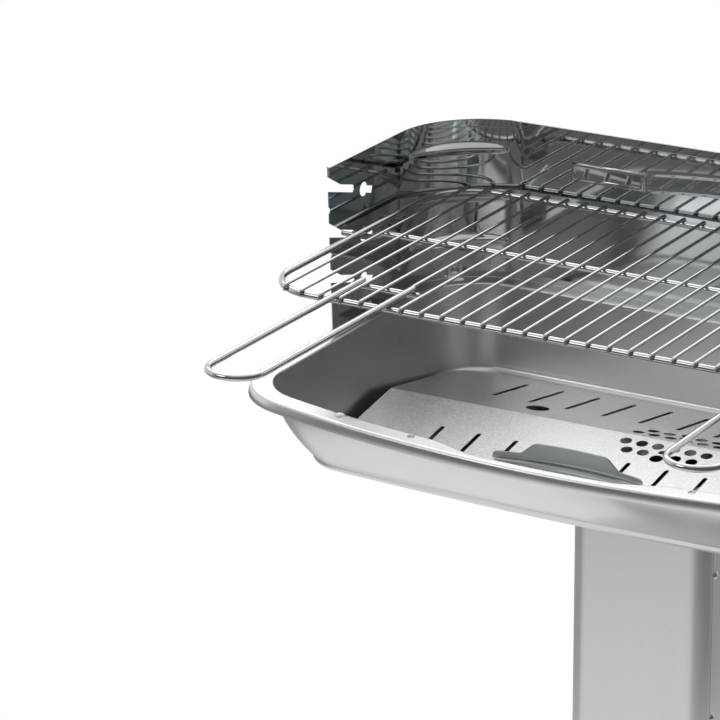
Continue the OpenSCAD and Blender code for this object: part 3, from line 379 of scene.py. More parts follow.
def cylinder(foot: Sequence[float], radius: float, height: float, sides: int = 32) -> Skin:
    """Closed upright cylinder: foot + radius * (-sin(w), cos(w)), w from 0 to a full turn, and again on top.

    Args:
        foot: Middle of its lower end.
        radius: Its radius.
        height: Its height.
        sides: Points round the circle.

    Returns:
        The cylinder's skin.
    """
    w = np.linspace(0, 2 * math.pi, sides, endpoint=False)
    circle = points_of(foot[0] - radius * np.sin(w), foot[1] + radius * np.cos(w), foot[2])
    return loft(np.stack([circle, circle + [0, 0, height]]))


def block(low: Sequence[float], high: Sequence[float]) -> Skin:
    """Closed box between two corners.

    Args:
        low: Its corner with the smallest coordinates.
        high: Its corner with the largest coordinates.

    Returns:
        The box's skin.
    """
    (x0, y0, z0), (x1, y1, z1) = low, high
    ring = np.array([[x0, y0, 0], [x1, y0, 0], [x1, y1, 0], [x0, y1, 0]], float)
    return loft(np.stack([ring + [0, 0, z0], ring + [0, 0, z1]]))


def add_object(name: str, data: bpy.types.ID) -> bpy.types.Object:
    """Puts a mesh, lamp or camera into the scene.

    Args:
        name: Name of the object.
        data: What it shows.

    Returns:
        The object, at the origin.
    """
    thing = bpy.data.objects.new(name, data)
    bpy.context.scene.collection.objects.link(thing)
    return thing


def make_object(name: str, skin: Skin, sharp_angle: float = 35.0) -> bpy.types.Object:
    """Puts a skin into a new smooth-shaded object whose steeper edges stay sharp.

    Args:
        name: Name of the object.
        skin: Its surface in millimetres.
        sharp_angle: Angle between faces, in degrees, past which an edge stays sharp.

    Returns:
        The object, at the origin.
    """
    mesh = bpy.data.meshes.new(name)
    mesh.from_pydata((skin.points * MM).tolist(), [], skin.faces)
    mesh.validate()
    mesh.shade_smooth()
    mesh.set_sharp_from_angle(angle=math.radians(sharp_angle))
    return add_object(name, mesh)


def carve(piece: bpy.types.Object, cutter: Skin, sharp_angle: float) -> None:
    """Takes a cutter out of a piece and keeps the result as the piece's own mesh.

    Args:
        piece: The object to cut.
        cutter: Closed skins that are taken away.
        sharp_angle: Angle in degrees past which an edge stays sharp.
    """
    tool = make_object("cutter", cutter)
    change = piece.modifiers.new("holes", "BOOLEAN")
    change.operation = "DIFFERENCE"
    change.solver = "EXACT"
    change.object = tool
    bpy.context.view_layer.update()
    result = bpy.data.meshes.new_from_object(piece.evaluated_get(bpy.context.evaluated_depsgraph_get()))
    piece.modifiers.clear()
    piece.data = result
    bpy.data.objects.remove(tool)
    result.shade_smooth()
    result.set_sharp_from_angle(angle=math.radians(sharp_angle))


def inside_of(points: Array, outline: Array) -> Array:
    """Tells which points lie inside an outline: a line to the right crosses its sides an odd number of times.

    Args:
        points: Flat points.
        outline: Corners of the closed outline.

    Returns:
        One truth value for each point.
    """
    x, y = points[:, 0][:, None], points[:, 1][:, None]
    x0, y0 = outline.T
    x1, y1 = np.roll(x0, -1), np.roll(y0, -1)
    spans = (y0 > y) != (y1 > y)
    with np.errstate(divide="ignore", invalid="ignore"):
        cross = x0 + (y - y0) * (x1 - x0) / (y1 - y0)
    return (np.sum(spans & (x < cross), axis=1) % 2).astype(bool)


def flat_sheet(shapes: list[Array], lines: list[Array]) -> tuple[Array, Array]:
    """Triangulates a flat sheet between its outline and its cuts.

    Args:
        shapes: The sheet's outline, then the outlines of its cuts.
        lines: Open lines whose points and edges the triangles keep.

    Returns:
        The flat points, and the triangles, which all turn to the left.
    """
    points: list[Vector] = []
    edges: list[tuple[int, int]] = []
    for i, line in enumerate(shapes + lines):
        start, n = len(points), len(line)
        points += [Vector(p) for p in line.tolist()]
        edges += [(start + j, start + (j + 1) % n) for j in range(n if i < len(shapes) else n - 1)]
    found = delaunay_2d_cdt(points, edges, [], 0, TOUCH)
    flat = np.array([tuple(v) for v in found[0]])
    tri = np.array(found[2])
    centre = flat[tri].mean(axis=1)
    keep = inside_of(centre, shapes[0])
    for shape in shapes[1:]:
        keep &= ~inside_of(centre, shape)
    used, tri = np.unique(tri[keep], return_inverse=True)
    flat, tri = flat[used], tri.reshape(-1, 3)
    a, b, c = flat[tri[:, 0]], flat[tri[:, 1]], flat[tri[:, 2]]
    swap = (b - a)[:, 0] * (c - a)[:, 1] < (b - a)[:, 1] * (c - a)[:, 0]
    tri[swap] = tri[swap][:, ::-1]
    return flat, tri


def bent_sheet(name: str, shapes: list[Array], lines: list[Array],
               surface: Callable[[Array, Array, bool], Array]) -> bpy.types.Object:
    """Cuts a flat sheet, bends it, gives it two faces and closes its edges.

    Each point (s, h) of the flat sheet is carried to both faces by the surface. Normals come from small
    differences of that surface, so that flat fields stay flat up to a bend.

    Args:
        name: Name of the piece.
        shapes: The sheet's outline, then the outlines of its cuts, as length s and height h.
        lines: Open lines whose points and edges the mesh keeps.
        surface: Gives a face's points for s and h: of the one that cross(s, h) points out of, or the other.

    Returns:
        The object, at the origin.
    """
    flat, tri = flat_sheet(shapes, lines)
    n = len(flat)
    sides = np.concatenate([tri[:, [0, 1]], tri[:, [1, 2]], tri[:, [2, 0]]])
    key = np.sort(sides, axis=1)
    _, first, count = np.unique(key[:, 0] * n + key[:, 1], return_index=True, return_counts=True)
    rim = sides[first[count == 1]]
    s, h = flat.T
    faces = tri.tolist() + (tri[:, ::-1] + n).tolist()
    faces += np.column_stack([rim[:, 1], rim[:, 0], rim[:, 0] + n, rim[:, 1] + n]).tolist()
    mesh = bpy.data.meshes.new(name)
    mesh.from_pydata((np.vstack([surface(s, h, True), surface(s, h, False)]) * MM).tolist(), [], faces)
    mesh.shade_smooth()
    bent = []
    for front in (True, False):
        along = surface(s + SMALL, h, front) - surface(s - SMALL, h, front)
        up = surface(s, h + SMALL, front) - surface(s, h - SMALL, front)
        normal = np.cross(along, up) * (1 if front else -1)
        bent.append(normal / np.linalg.norm(normal, axis=1, keepdims=True))
    corner_points = np.zeros(len(mesh.loops), int)
    mesh.loops.foreach_get("vertex_index", corner_points)
    loops = np.vstack(bent)[corner_points]
    face_normals = np.zeros(len(mesh.polygons) * 3)
    mesh.polygons.foreach_get("normal", face_normals)
    loops[6 * len(tri):] = np.repeat(face_normals.reshape(-1, 3)[2 * len(tri):], 4, axis=0)
    mesh.normals_split_custom_set(loops.tolist())
    return add_object(name, mesh)


def place(piece: bpy.types.Object, finish: bpy.types.Material, slot: str, body: Body, *nodes: str) -> None:
    """Gives a piece its finish, its body and the nodes it stands for.

    Args:
        piece: The finished object.
        finish: Its material.
        slot: Not used.
        body: The body that it moves with.
        *nodes: Nodes that it replaces.
    """
    piece.data.materials.clear()
    piece.data.materials.append(finish)
    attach(piece, body.value)
    if nodes:
        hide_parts(*nodes)
    LOG.info("%s: %d faces on %s", piece.name, len(piece.data.polygons), body.value)


def dress(frame: dict[str, Any], finish: bpy.types.Material, *nodes: str) -> None:
    """Gives kept nodes their material.

    Args:
        frame: The loaded frame.
        finish: The material.
        *nodes: Names of the nodes.
    """
    for name in nodes:
        slots = frame["nodes"][name].material_slots
        for slot in slots:
            slot.material = finish
        LOG.info("%s keeps its solid, %d material slots", name, len(slots))


# Fire pan

@dataclass
class FirePan:
    """Pressed fire pan: one skin whose outline changes from the bowed rim to the smaller floor."""

    half_w: float = 313.0
    back_y: float = 162.0
    front_y: float = 236.0
    bow: float = 31.0
    bow_len: float = 250.0
    bulge: float = 11.5
    bulge_flat: float = 58.0
    bulge_fade: float = 62.0
    front_r: float = 57.0
    back_r: float = 68.0
    depth: float = 81.5
    floor_half_w: float = 295.5
    floor_back_y: float = 146.0
    floor_front_y: float = 168.5
    floor_bow: float = 10.6
    floor_front_r: float = 46.0
    floor_back_r: float = 45.0
    wall_power: float = 1.5
    wall_shares: tuple[float, ...] = (1, .985, .93, .86, .78, .7, .6, .5, .4, .3, .2, .1, .03, 0)
    round_r: float = 7.0
    step_w: float = 21.0
    step_front: float = 28.0
    slope_w: float = 4.0
    recess: float = 4.0
    sheet: float = 1.0
    rim_w: float = 23.5
    edge_r: float = 3.0
    lip_r: float = 3.6
    lip_h: float = 9.5
    lip_lean: float = 12.0
    lip_shares: tuple[float, ...] = (.06, .97, 1.0)
    lip_bevel: float = 0.15
    # Rows of points this far from a bend keep the flat beside it flat
    hold: float = 0.5
    ease: float = 0.6
    setback: float = 1.0
    # Points along the bowed front, each corner's arc, a side and the back, then round the section's bends
    front_count: int = 101
    arc_count: int = 25
    side_count: int = 5
    back_count: int = 9
    bend_count: int = 9
    edge_count: int = 7
    under_edge_count: int = 5
    # Place and radius of the holes on each side: windshield screw, rim screw, plain hole
    rim_holes: tuple[tuple[float, float, float], ...] = (
        (325.4, 52.0, 2.2), (210.7, -220.4, 2.7), (132.2, -234.8, 3.5))
    ash_hole_r: float = 44.0
    ash_hole_sides: int = 64
    bolt_x: float = 75.5
    bolt_y: float = 79.0
    bolt_hole_r: float = 2.2
    corner: tuple[float, float] = (245.6, 95.0)
    tab_reach: float = 85.9
    tab_half: float = 7.0
    tab_h: float = 13.0
    tab_sink: float = 0.5
    tab_slot: float = 9.0
    overrun: float = 20.0
    sharp_angle: float = 50.0

    def ring(self, entry: Array) -> Array:
        """One outline of the pan.

        A bowed front y = apex + bow * x^2 / length^2, less a bulge that fades as half a cosine wave, runs into
        two front arcs, two straight sides, two rear arcs and a straight back. Every size is blended from rim to
        floor by the share s; the front's distance follows s^1.5.

        Args:
            entry: Offset outwards, height, share s, swell of the bulge, setback of the front.

        Returns:
            The outline's points.
        """
        off, z, s, swell, back = entry
        a = self.half_w + (self.floor_half_w - self.half_w) * s + off
        yb = self.back_y + (self.floor_back_y - self.back_y) * s + off
        apex = back - (self.front_y + (self.floor_front_y - self.front_y) * s ** self.wall_power) - off
        bow = self.bow + (self.floor_bow - self.bow) * s
        rf = self.front_r + (self.floor_front_r - self.front_r) * s + off
        rb = self.back_r + (self.floor_back_r - self.back_r) * s + off
        lean = math.atan(2 * bow * (a - rf) / self.bow_len ** 2)
        xs = a - rf + rf * math.sin(lean)
        ys = apex + bow * xs * xs / self.bow_len ** 2
        cy = ys + rf * math.cos(lean)
        x = np.linspace(-xs, xs, self.front_count)
        d = np.clip((abs(x) - self.bulge_flat) / self.bulge_fade, 0, 1)
        front = points_of(x, apex + bow * x * x / self.bow_len ** 2
                          - self.bulge * swell * (1 + np.cos(math.pi * d)) / 2)
        w = np.linspace(lean - math.pi / 2, 0, self.arc_count)[1:]
        front_right = points_of(a - rf + rf * np.cos(w), cy + rf * np.sin(w))
        w = np.linspace(0, math.pi / 2, self.arc_count)
        back_right = points_of(a - rb + rb * np.cos(w), yb - rb + rb * np.sin(w))
        side = np.linspace(front_right[-1], back_right[0], self.side_count)[1:-1]
        half = np.vstack([front_right, side, back_right])
        mirrored = half[::-1] * [-1, 1]
        rear = np.linspace(half[-1], mirrored[0], self.back_count)[1:-1]
        return points_of(*np.vstack([front, half, rear, mirrored[:-1]]).T, RIM_H + z)

    @staticmethod
    def entries(off: Any, z: Any, s: Any = 0, swell: Any = 0, back: Any = 0) -> Array:
        """Rows of the section: offset, height, share, swell and setback, each a list or one value for all."""
        return points_of(off, z, s, swell, back).reshape(-1, 5)

    def profile(self) -> Array:
        """Section from the floor's recess up the wall, over the rim and back underneath, one sheet away.

        Bends are quarter circles: r * sin(w) across and r - r * cos(w) up. The lip turns down by a right angle
        less its lean and then runs straight.

        Returns:
            The section's rows, as ring takes them.
        """
        rows, sheet, front = self.entries, self.sheet, self.step_front
        bend, edge, lip = self.round_r, self.edge_r, self.lip_r
        floor, low = -self.depth, -self.depth - self.recess
        inner = -bend - self.step_w
        foot = inner - self.slope_w
        share = np.array(self.wall_shares)
        wall = -edge - share * (self.depth - edge - bend)
        lean = math.radians(self.lip_lean)
        sn, cs = math.sin(lean), math.cos(lean)
        down = self.lip_h - lip + lip * sn
        centre = self.rim_w - down * math.tan(lean) - lip * cs
        k = np.array(self.lip_shares) * down
        out = centre + lip * cs + k * math.tan(lean)
        w = np.linspace(0, math.pi / 2 - lean, self.bend_count)
        across, up = quarter(bend, self.bend_count)
        over, rise = quarter(edge, self.edge_count)
        top = [rows(foot - self.setback, low, 1, 0, front), rows(foot, low, 1, 0, front),
               rows([foot + self.ease, inner - self.ease], [low + self.hold, floor - self.hold], 1, 0, front),
               rows([inner, inner + self.ease], floor, 1, 0, [front, front - self.setback]),
               rows(-bend - self.hold, floor, 1), rows(-bend + across[:-1], floor + bend - up[:-1], 1),
               rows(0, wall, share, 1 - share), rows(edge - rise[1:], -edge + over[1:], 0, 1),
               rows(edge + self.hold, 0, 0, 1), rows(centre - self.hold, 0),
               rows(centre + lip * np.sin(w), -lip + lip * np.cos(w)), rows(out[:2], -lip + lip * sn - k[:2]),
               rows([out[2] - self.lip_bevel, out[2] - sheet + self.lip_bevel], -self.lip_h)]
        w, share = w[::-1], share[::-1]
        over, rise = quarter(edge - sheet, self.under_edge_count)
        across, up = quarter(bend + sheet, self.bend_count)
        under = [rows(out[1::-1] - sheet * cs, -lip + lip * sn - k[1::-1] - sheet * sn),
                 rows(centre + (lip - sheet) * np.sin(w), -lip + (lip - sheet) * np.cos(w)),
                 rows(centre - self.hold, -sheet), rows(edge + self.hold, -sheet, 0, 1),
                 rows(edge - rise[::-1][:-1], -edge + over[::-1][:-1], 0, 1),
                 rows(sheet, wall[::-1], share, 1 - share),
                 rows(-bend + across[::-1][1:], floor + bend - up[::-1][1:], 1),
                 rows(-bend - self.hold, floor - sheet, 1),
                 rows([inner + sheet + self.ease, inner + sheet], floor - sheet, 1, 0,
                      [front - self.setback, front]),
                 rows([foot + sheet, foot - self.setback + sheet], low - sheet, 1, 0, front)]
        return np.vstack(top + under)

    def holes(self) -> Skin:
        """Everything that is cut out of the pan: ash opening, bolt holes, rim holes and the tabs' slots.

        Returns:
            The cutters as one skin.
        """
        rim_foot = RIM_H - self.overrun
        floor_foot = RIM_H - self.depth - self.recess - self.overrun
        through = 2 * self.overrun
        skin = cylinder((0, 0, floor_foot), self.ash_hole_r, through, self.ash_hole_sides)
        for k in (-1, 1):
            for x, y, r in self.rim_holes:
                skin += cylinder((k * x, y, rim_foot), r, through)
            far = self.tab_reach - self.sheet
            skin += self.corner_block(k, far - self.tab_slot, far, rim_foot, rim_foot + through)
            for x, y in ((k * self.bolt_x, 0), (0, k * self.bolt_y)):
                skin += cylinder((x, y, floor_foot), self.bolt_hole_r, through)
        return skin

    def corner_block(self, k: int, near: float, far: float, low: float, high: float) -> Skin:
        """Box across a rear corner's diagonal.

        Args:
            k: Minus one for the left corner, one for the right.
            near: Distance from the corner's centre to the box's near face.
            far: Distance to its far face.
            low: Height of its bottom.
            high: Height of its top.

        Returns:
            The box's skin.
        """
        skin = block((near, -self.tab_half, low), (far, self.tab_half, high))
        c = math.sqrt(0.5)
        x, y, z = skin.points.T
        skin.points = points_of(k * self.corner[0] + k * c * (x - y), self.corner[1] + c * (x + y), z)
        if k < 0:
            skin.faces = [f[::-1] for f in skin.faces]
        return skin

    def build(self, steel: bpy.types.Material) -> None:
        """Makes the pan with its holes and its two upright corner tabs.

        Args:
            steel: Its material.
        """
        rings = np.stack([self.ring(entry) for entry in self.profile()])
        pan = make_object("fire_pan_pressing", loft(rings[:, ::-1]), self.sharp_angle)
        carve(pan, self.holes(), self.sharp_angle)
        place(pan, steel, "pan_steel", Body.STAND, "fire_pan")
        for k, side in ((-1, "left"), (1, "right")):
            skin = self.corner_block(k, self.tab_reach - self.sheet, self.tab_reach, RIM_H - self.tab_sink,
                                     RIM_H + self.tab_h)
            place(make_object(f"pan_corner_tab_{side}", skin), steel, "pan_steel", Body.STAND)


# Windshield

@dataclass
class Windshield:
    """Three-sided mirror sheet. Its shape is worked out flat, as length along the sheet and height."""

    height: float = 155.6
    half_w: float = 332.6
    back_y: float = 182.0
    radius: float = 87.0
    front_low: float = 27.0
    front_top: float = 34.0
    sheet: float = 0.8
    hem_h: float = 8.5
    hem_t: float = 1.6
    hem_run: float = 0.5
    crown: float = 1.2
    # Notches and keyholes, drawn along x from the notch's seat and then tilted
    notch_z: tuple[float, ...] = (37.25, 80.35, 123.45)
    seat_y: float = 8.9
    tilt: float = 15.5
    seat_r: float = 3.5
    seat_up: float = 0.4
    mouth: tuple[tuple[float, float], ...] = ((-22.4, 3.9), (-60.0, 13.5), (-60.0, -3.1))
    key_x: float = 21.4
    key_r: float = 6.7
    key_half: float = 3.35
    key_end: float = 38.1
    nick_z: tuple[float, ...] = (70.55, 113.65)
    nick: float = 3.4
    # Pressed forms: corner ledges, the arched band's two ribs and the plain panel
    ledge_z: tuple[float, ...] = (36.95, 80.05, 126.65)
    ledge_r: float = 5.0
    ledge_half: float = 7.0
    # Middle of a corner's turn in degrees, and how far a ledge reaches to both sides of it
    ledge_middle: float = 45.0
    ledge_turn: float = 33.0
    ledge_tip_share: float = 0.35
    band_half: float = 118.0
    band_arcs: tuple[tuple[float, float], ...] = ((980.0, 130.9), (963.9, 114.8))
    rib_r: float = 0.45
    rib_half: float = 3.0
    rib_fade: float = 5.0
    panel: tuple[float, float, float, float] = (-197.0, -121.0, 105.5, 123.5)
    panel_t: float = 1.6
    panel_field: float = 0.6
    panel_edge: float = 1.6
    panel_border: float = 3.0
    foot_x: tuple[float, float] = (13.8, 0.2)
    foot_y: tuple[float, float] = (5.0, 65.0)
    # Where the mesh needs rows of points
    fold_rows: tuple[float, ...] = (-0.3, 0.0, 0.5, 0.8)
    crown_rows: tuple[float, ...] = (1.4, 1.2, 0.8, 0.4, 0.15)
    wing_rows: tuple[float, ...] = (30.0, 70.0)
    corner_count: int = 61
    back_count: int = 31
    seat_count: int = 14
    key_count: int = 34
    ledge_count: int = 15
    rib_count: int = 61
    rib_lines: int = 9
    border_lines: int = 5
    row_step: float = 6.0
    row_gap: float = 0.8
    line_overrun: float = 3.0
    rib_overrun: float = 4.0

    @property
    def corner_len(self) -> float:
        """Length of a corner's arc along the outside."""
        return self.radius * math.pi / 2

    @property
    def back_len(self) -> float:
        """Length of the flat back wall."""
        return 2 * (self.half_w - self.radius)

    def plan(self, s: Array) -> tuple[Array, Array]:
        """Place and outward direction on the outside face for lengths along the sheet.

        Zero is the middle of the back wall. The wall is straight to half its length, then turns a quarter
        circle and runs straight to the front as a wing.

        Args:
            s: Lengths, positive to the right.

        Returns:
            Points and unit normals in plan.
        """
        side = np.sign(s)
        d = abs(s) - self.back_len / 2
        w = np.clip(d / self.radius, 0, math.pi / 2)
        straight = np.maximum(d - self.corner_len, 0)
        x = np.minimum(abs(s), self.back_len / 2) + self.radius * np.sin(w)
        y = self.back_y - self.radius + self.radius * np.cos(w) - straight
        return points_of(side * x, y), points_of(side * np.sin(w), np.cos(w))

    def length_at(self, y: float) -> float:
        """Length along the sheet of a wing's point at a distance y behind the column's middle."""
        return self.back_len / 2 + self.corner_len + self.back_y - self.radius - y

    def pressed(self, s: Array, h: Array) -> Array:
        """How far the sheet is pressed inwards.

        Ledges are r * cos^2 over their height, shortened round the corner by sqrt(1 - (turn / limit)^2); ribs
        are cos^2 across an arch; the plain panel is a flat field inside a border that stands prouder.

        Args:
            s: Lengths along the sheet.
            h: Heights.

        Returns:
            Depths.
        """
        depth = np.zeros_like(s)
        turn = np.degrees((abs(s) - self.back_len / 2) / self.radius) - self.ledge_middle
        taper = np.sqrt(np.clip(1 - (turn / self.ledge_turn) ** 2, 0, 1))
        reach = self.ledge_half * (self.ledge_tip_share + (1 - self.ledge_tip_share) * taper)
        for z in self.ledge_z:
            d = np.clip((h - z) / reach, -1, 1)
            depth = np.maximum(depth, self.ledge_r * taper * np.cos(math.pi / 2 * d) ** 2)
        end = np.clip((self.band_half - abs(s)) / self.rib_fade, 0, 1)
        for arc_r, top in self.band_arcs:
            d = np.clip((np.hypot(s, h - top + arc_r) - arc_r) / self.rib_half, -1, 1)
            depth = np.maximum(depth, self.rib_r * end * np.cos(math.pi / 2 * d) ** 2)
        x0, x1, z0, z1 = self.panel
        inside = np.minimum(np.minimum(s - x0, x1 - s), np.minimum(h - z0, z1 - h))
        edge = np.clip(inside / self.panel_edge, 0, 1)
        field = np.clip((inside - self.panel_border) / self.panel_edge, 0, 1)
        raised = edge * edge * (3 - 2 * edge) - self.panel_field * field * field * (3 - 2 * field)
        return np.maximum(depth, self.panel_t * raised)

    def surface(self, s: Array, h: Array, inner: bool) -> Array:
        """Points of one face: the outside less the pressing and, on the inner face, the sheet and its hem.

        Args:
            s: Lengths along the sheet.
            h: Heights.
            inner: Whether the face is the inner one.

        Returns:
            The points.
        """
        depth = self.pressed(s, h)
        if inner:
            fold = np.clip((h - self.height + self.hem_h) / self.hem_run, 0, 1) * self.hem_t
            crown = np.clip((self.height - h) / self.crown, 0, 1)
            depth = depth + self.sheet + fold * np.sqrt(np.clip(1 - (1 - crown) ** 2, 0, 1))
        flat, normal = self.plan(s)
        return points_of(*(flat - normal * depth[:, None]).T, RIM_H + h)

    def cutters(self) -> list[Array]:
        """Outlines of notches, keyholes and nicks in one wing.

        Returns:
            The outlines, as distance y and height.
        """
        out: list[Array] = []
        c, sn = math.cos(math.radians(-self.tilt)), math.sin(math.radians(-self.tilt))
        half = np.linspace(-math.pi / 2, math.pi / 2, self.seat_count)
        seat = points_of(self.seat_r * np.cos(half), self.seat_up + self.seat_r * np.sin(half))
        start = math.asin(self.key_half / self.key_r)
        ring = np.linspace(start, 2 * math.pi - start, self.key_count)
        key = np.vstack([points_of(self.key_x + self.key_r * np.cos(ring), self.key_r * np.sin(ring)),
                         [[self.key_end, -self.key_half], [self.key_end, self.key_half]]])
        for z in self.notch_z:
            for shape in (np.vstack([seat, self.mouth]), key):
                x, y = shape.T
                out.append(points_of(self.seat_y + c * x - sn * y, z + sn * x + c * y))
        for z in self.nick_z:
            front = -(self.front_low + (self.front_top - self.front_low) * z / self.height)
            out.append(np.array([[1, 0], [-1, 2], [-1, -2]]) * self.nick + [front, z])
        return out

    def outline(self) -> Array:
        """Outline of the whole flat sheet.

        Returns:
            Its points, as length and height.
        """
        low, top = self.length_at(-self.front_low), self.length_at(-self.front_top)
        middle = self.stations()
        return np.vstack([points_of(np.concatenate([[-low], middle, [low]]), 0),
                          points_of(np.concatenate([[top], middle[::-1], [-top]]), self.height)])

    def stations(self) -> Array:
        """Lengths along the sheet where its plan needs points: close together round the corners.

        Returns:
            The lengths, from left to right.
        """
        b, c = self.back_len / 2, self.corner_len
        right = np.concatenate([b + np.linspace(0, c, self.corner_count), b + c + np.array(self.wing_rows)])
        return np.concatenate([-right[::-1], np.linspace(-b, b, self.back_count)[1:-1], right])

    def rows(self) -> list[Array]:
        """Lines of points that shape the corners, hem, ribs and panel, each to be kept as edges.

        Returns:
            The lines, as length and height.
        """
        far = self.length_at(-self.front_top) + self.line_overrun
        bend = self.back_len / 2 + np.linspace(0, self.corner_len, self.corner_count)
        s = np.concatenate([[-far], self.stations(), [far]])
        fold = self.height - self.hem_h
        lines = [points_of(s, fold + row) for row in self.fold_rows]
        lines += [points_of(s, self.height - row) for row in self.crown_rows]
        fine = [z + np.linspace(-self.ledge_half, self.ledge_half, self.ledge_count) for z in self.ledge_z]
        fine.append(np.arange(self.row_step / 2, fold - self.row_step / 2, self.row_step))
        fine = np.unique(np.round(np.concatenate(fine), 2))
        keep = np.concatenate([[True], np.diff(fine) > self.row_gap])
        lines += [points_of(side * bend, z) for z in fine[keep] for side in (-1, 1)]
        end = self.band_half + self.rib_overrun
        x = np.linspace(-end, end, self.rib_count)
        for arc_r, top in self.band_arcs:
            lines += [points_of(x, top - arc_r + np.sqrt((arc_r + d) ** 2 - x * x))
                      for d in np.linspace(-self.rib_half, self.rib_half, self.rib_lines)]
        x0, x1, z0, z1 = self.panel
        steps = np.linspace(0, self.panel_edge, self.border_lines)
        for i in np.concatenate([steps, self.panel_border + steps]):
            lines.append(np.array([[x0 + i, z0 + i], [x1 - i, z0 + i], [x1 - i, z1 - i], [x0 + i, z1 - i],
                                   [x0 + i, z0 + i]]))
        return lines

    def build(self, mirror: bpy.types.Material) -> None:
        """Makes the bent sheet and its two feet on the rim.

        Args:
            mirror: Its material.
        """
        shapes = [self.outline()]
        for shape in self.cutters():
            shapes += [points_of(side * (self.length_at(0.0) - shape[:, 0]), shape[:, 1]) for side in (-1, 1)]
        piece = bent_sheet("windshield_sheet", shapes, self.rows(), self.surface)
        place(piece, mirror, "mirror_sheet", Body.STAND, "windshield")
        for k, side in ((-1, "left"), (1, "right")):
            x = sorted(k * (self.half_w - inset) for inset in self.foot_x)
            skin = block((x[0], self.foot_y[0], RIM_H), (x[1], self.foot_y[1], RIM_H + self.sheet))
            place(make_object(f"windshield_foot_{side}", skin), mirror, "mirror_sheet", Body.STAND)


# Cooking grid

@dataclass
class CookingGrid:
    """Chromed grid: thirty wires on a rounded frame, a support bar, two short rods and two loop handles."""

    shift: float = -4.8
    wire_z: float = 825.25
    rod_z: float = 821.05
    wire_r: float = 1.5
    rod_r: float = 3.0
    count: int = 30
    pitch: float = 20.0
    half_w: float = 313.5
    front_y: float = -174.5
    back_y: float = 166.7
    corner_r: float = 52.0
    reach: float = 4.4
    bend: float = 2.4
    bar_y: float = 8.9
    bar_half: float = 338.8
    bar_end_z: float = 815.35
    bar_bend: float = 9.0
    set_x: float = 294.8
    set_run: float = 12.0
    handle_x: float = 210.0
    handle_half: float = 25.0
    handle_end: float = -402.0
    handle_root: float = -130.0
    leg_z: float = 826.75
    tie_in: float = 180.0
    tie_out: float = 244.0
    wire_sides: int = 12
    rod_sides: int = 20
    # Steps round each bend of a wire, the frame, the bar and a handle
    wire_steps: int = 6
    frame_steps: int = 20
    bar_steps: int = 7
    handle_steps: int = 22
    sharp_angle: float = 60.0

    def wires(self) -> Skin:
        """All wires, each bent down over the frame rods at both ends.

        Returns:
            The wires as one skin.
        """
        skin: Skin | None = None
        for i in range(self.count):
            x = (i - (self.count - 1) / 2) * self.pitch
            d = max(abs(x) - (self.half_w - self.corner_r), 0)
            end = math.sqrt((self.corner_r + self.reach) ** 2 - d * d)
            y0, y1 = self.front_y + self.corner_r - end, self.back_y - self.corner_r + end
            corners = np.array([[y0, self.rod_z], [y0, self.wire_z], [y1, self.wire_z], [y1, self.rod_z]])
            line = rounded(corners, [0, self.bend, self.bend, 0], self.wire_steps)
            rod = sweep(points_of(x + self.shift, *line.T), self.wire_r, (1, 0, 0), self.wire_sides)
            skin = rod if skin is None else skin + rod
        return skin

    def flat_rod(self, line: Array, z: float, closed: bool = False) -> Skin:
        """Thick rod along a line in plan.

        Args:
            line: Points in plan, which move with the grid.
            z: Height of the rod's middle.
            closed: Whether the line is a closed loop.

        Returns:
            The rod's skin.
        """
        path = points_of(line[:, 0] + self.shift, line[:, 1], z)
        return sweep(path, self.rod_r, (0, 0, 1), self.rod_sides, closed)

    def frame_rod(self) -> Skin:
        """Rounded rectangle of thick rod.

        Returns:
            The rod's skin.
        """
        w, f, b = self.half_w, self.front_y, self.back_y
        corners = np.array([[-w, f], [w, f], [w, b], [-w, b]])
        line = rounded(corners, [self.corner_r] * len(corners), self.frame_steps, True)
        return self.flat_rod(line, self.rod_z, True)

    def support_bar(self) -> Skin:
        """Bar under the wires with set-down ends.

        Returns:
            The bar's skin.
        """
        x = np.array([self.set_x, self.set_x + self.set_run, self.bar_half - self.rod_r])
        z = np.array([self.rod_z, self.bar_end_z, self.bar_end_z])
        corners = np.vstack([points_of(-x, z)[::-1], points_of(x, z)])
        line = rounded(corners, [self.bar_bend] * len(corners), self.bar_steps)
        path = points_of(line[:, 0] + self.shift, self.bar_y, line[:, 1])
        return sweep(path, self.rod_r, (0, 1, 0), self.rod_sides)

    def ties(self) -> Skin:
        """Two short rods under the handles' legs.

        Returns:
            Both rods as one skin.
        """
        x = np.array([self.tie_in, self.tie_out])
        left, right = (self.flat_rod(points_of(k * x, self.handle_root), self.rod_z) for k in (-1, 1))
        return left + right

    def handle(self, k: int) -> Skin:
        """Long loop handle on one side.

        Args:
            k: Minus one for the left handle, one for the right.

        Returns:
            The handle's skin.
        """
        x0, x1 = k * self.handle_x - self.handle_half, k * self.handle_x + self.handle_half
        corners = np.array([[x0, self.handle_root], [x0, self.handle_end], [x1, self.handle_end],
                            [x1, self.handle_root]])
        line = rounded(corners, [0, self.handle_half, self.handle_half, 0], self.handle_steps)
        keep = np.concatenate([[True], np.linalg.norm(np.diff(line, axis=0), axis=1) > SMALL])
        return self.flat_rod(line[keep], self.leg_z)

    def build(self, chrome: bpy.types.Material) -> None:
        """Makes every rod of the grid.

        Args:
            chrome: Its material.
        """
        parts = (("grid_wire_field", self.wires(), "grid_wires"),
                 ("grid_frame_rod", self.frame_rod(), "grid_frame"),
                 ("grid_bar_rod", self.support_bar(), "grid_support_bar"),
                 ("grid_tie_rods", self.ties(), "grid_tie_wires"),
                 ("handle_loop_left", self.handle(-1), "grid_handle_left"),
                 ("handle_loop_right", self.handle(1), "grid_handle_right"))
        for name, skin, node in parts:
            place(make_object(name, skin, self.sharp_angle), chrome, "chromed_wire", Body.GRID, node)


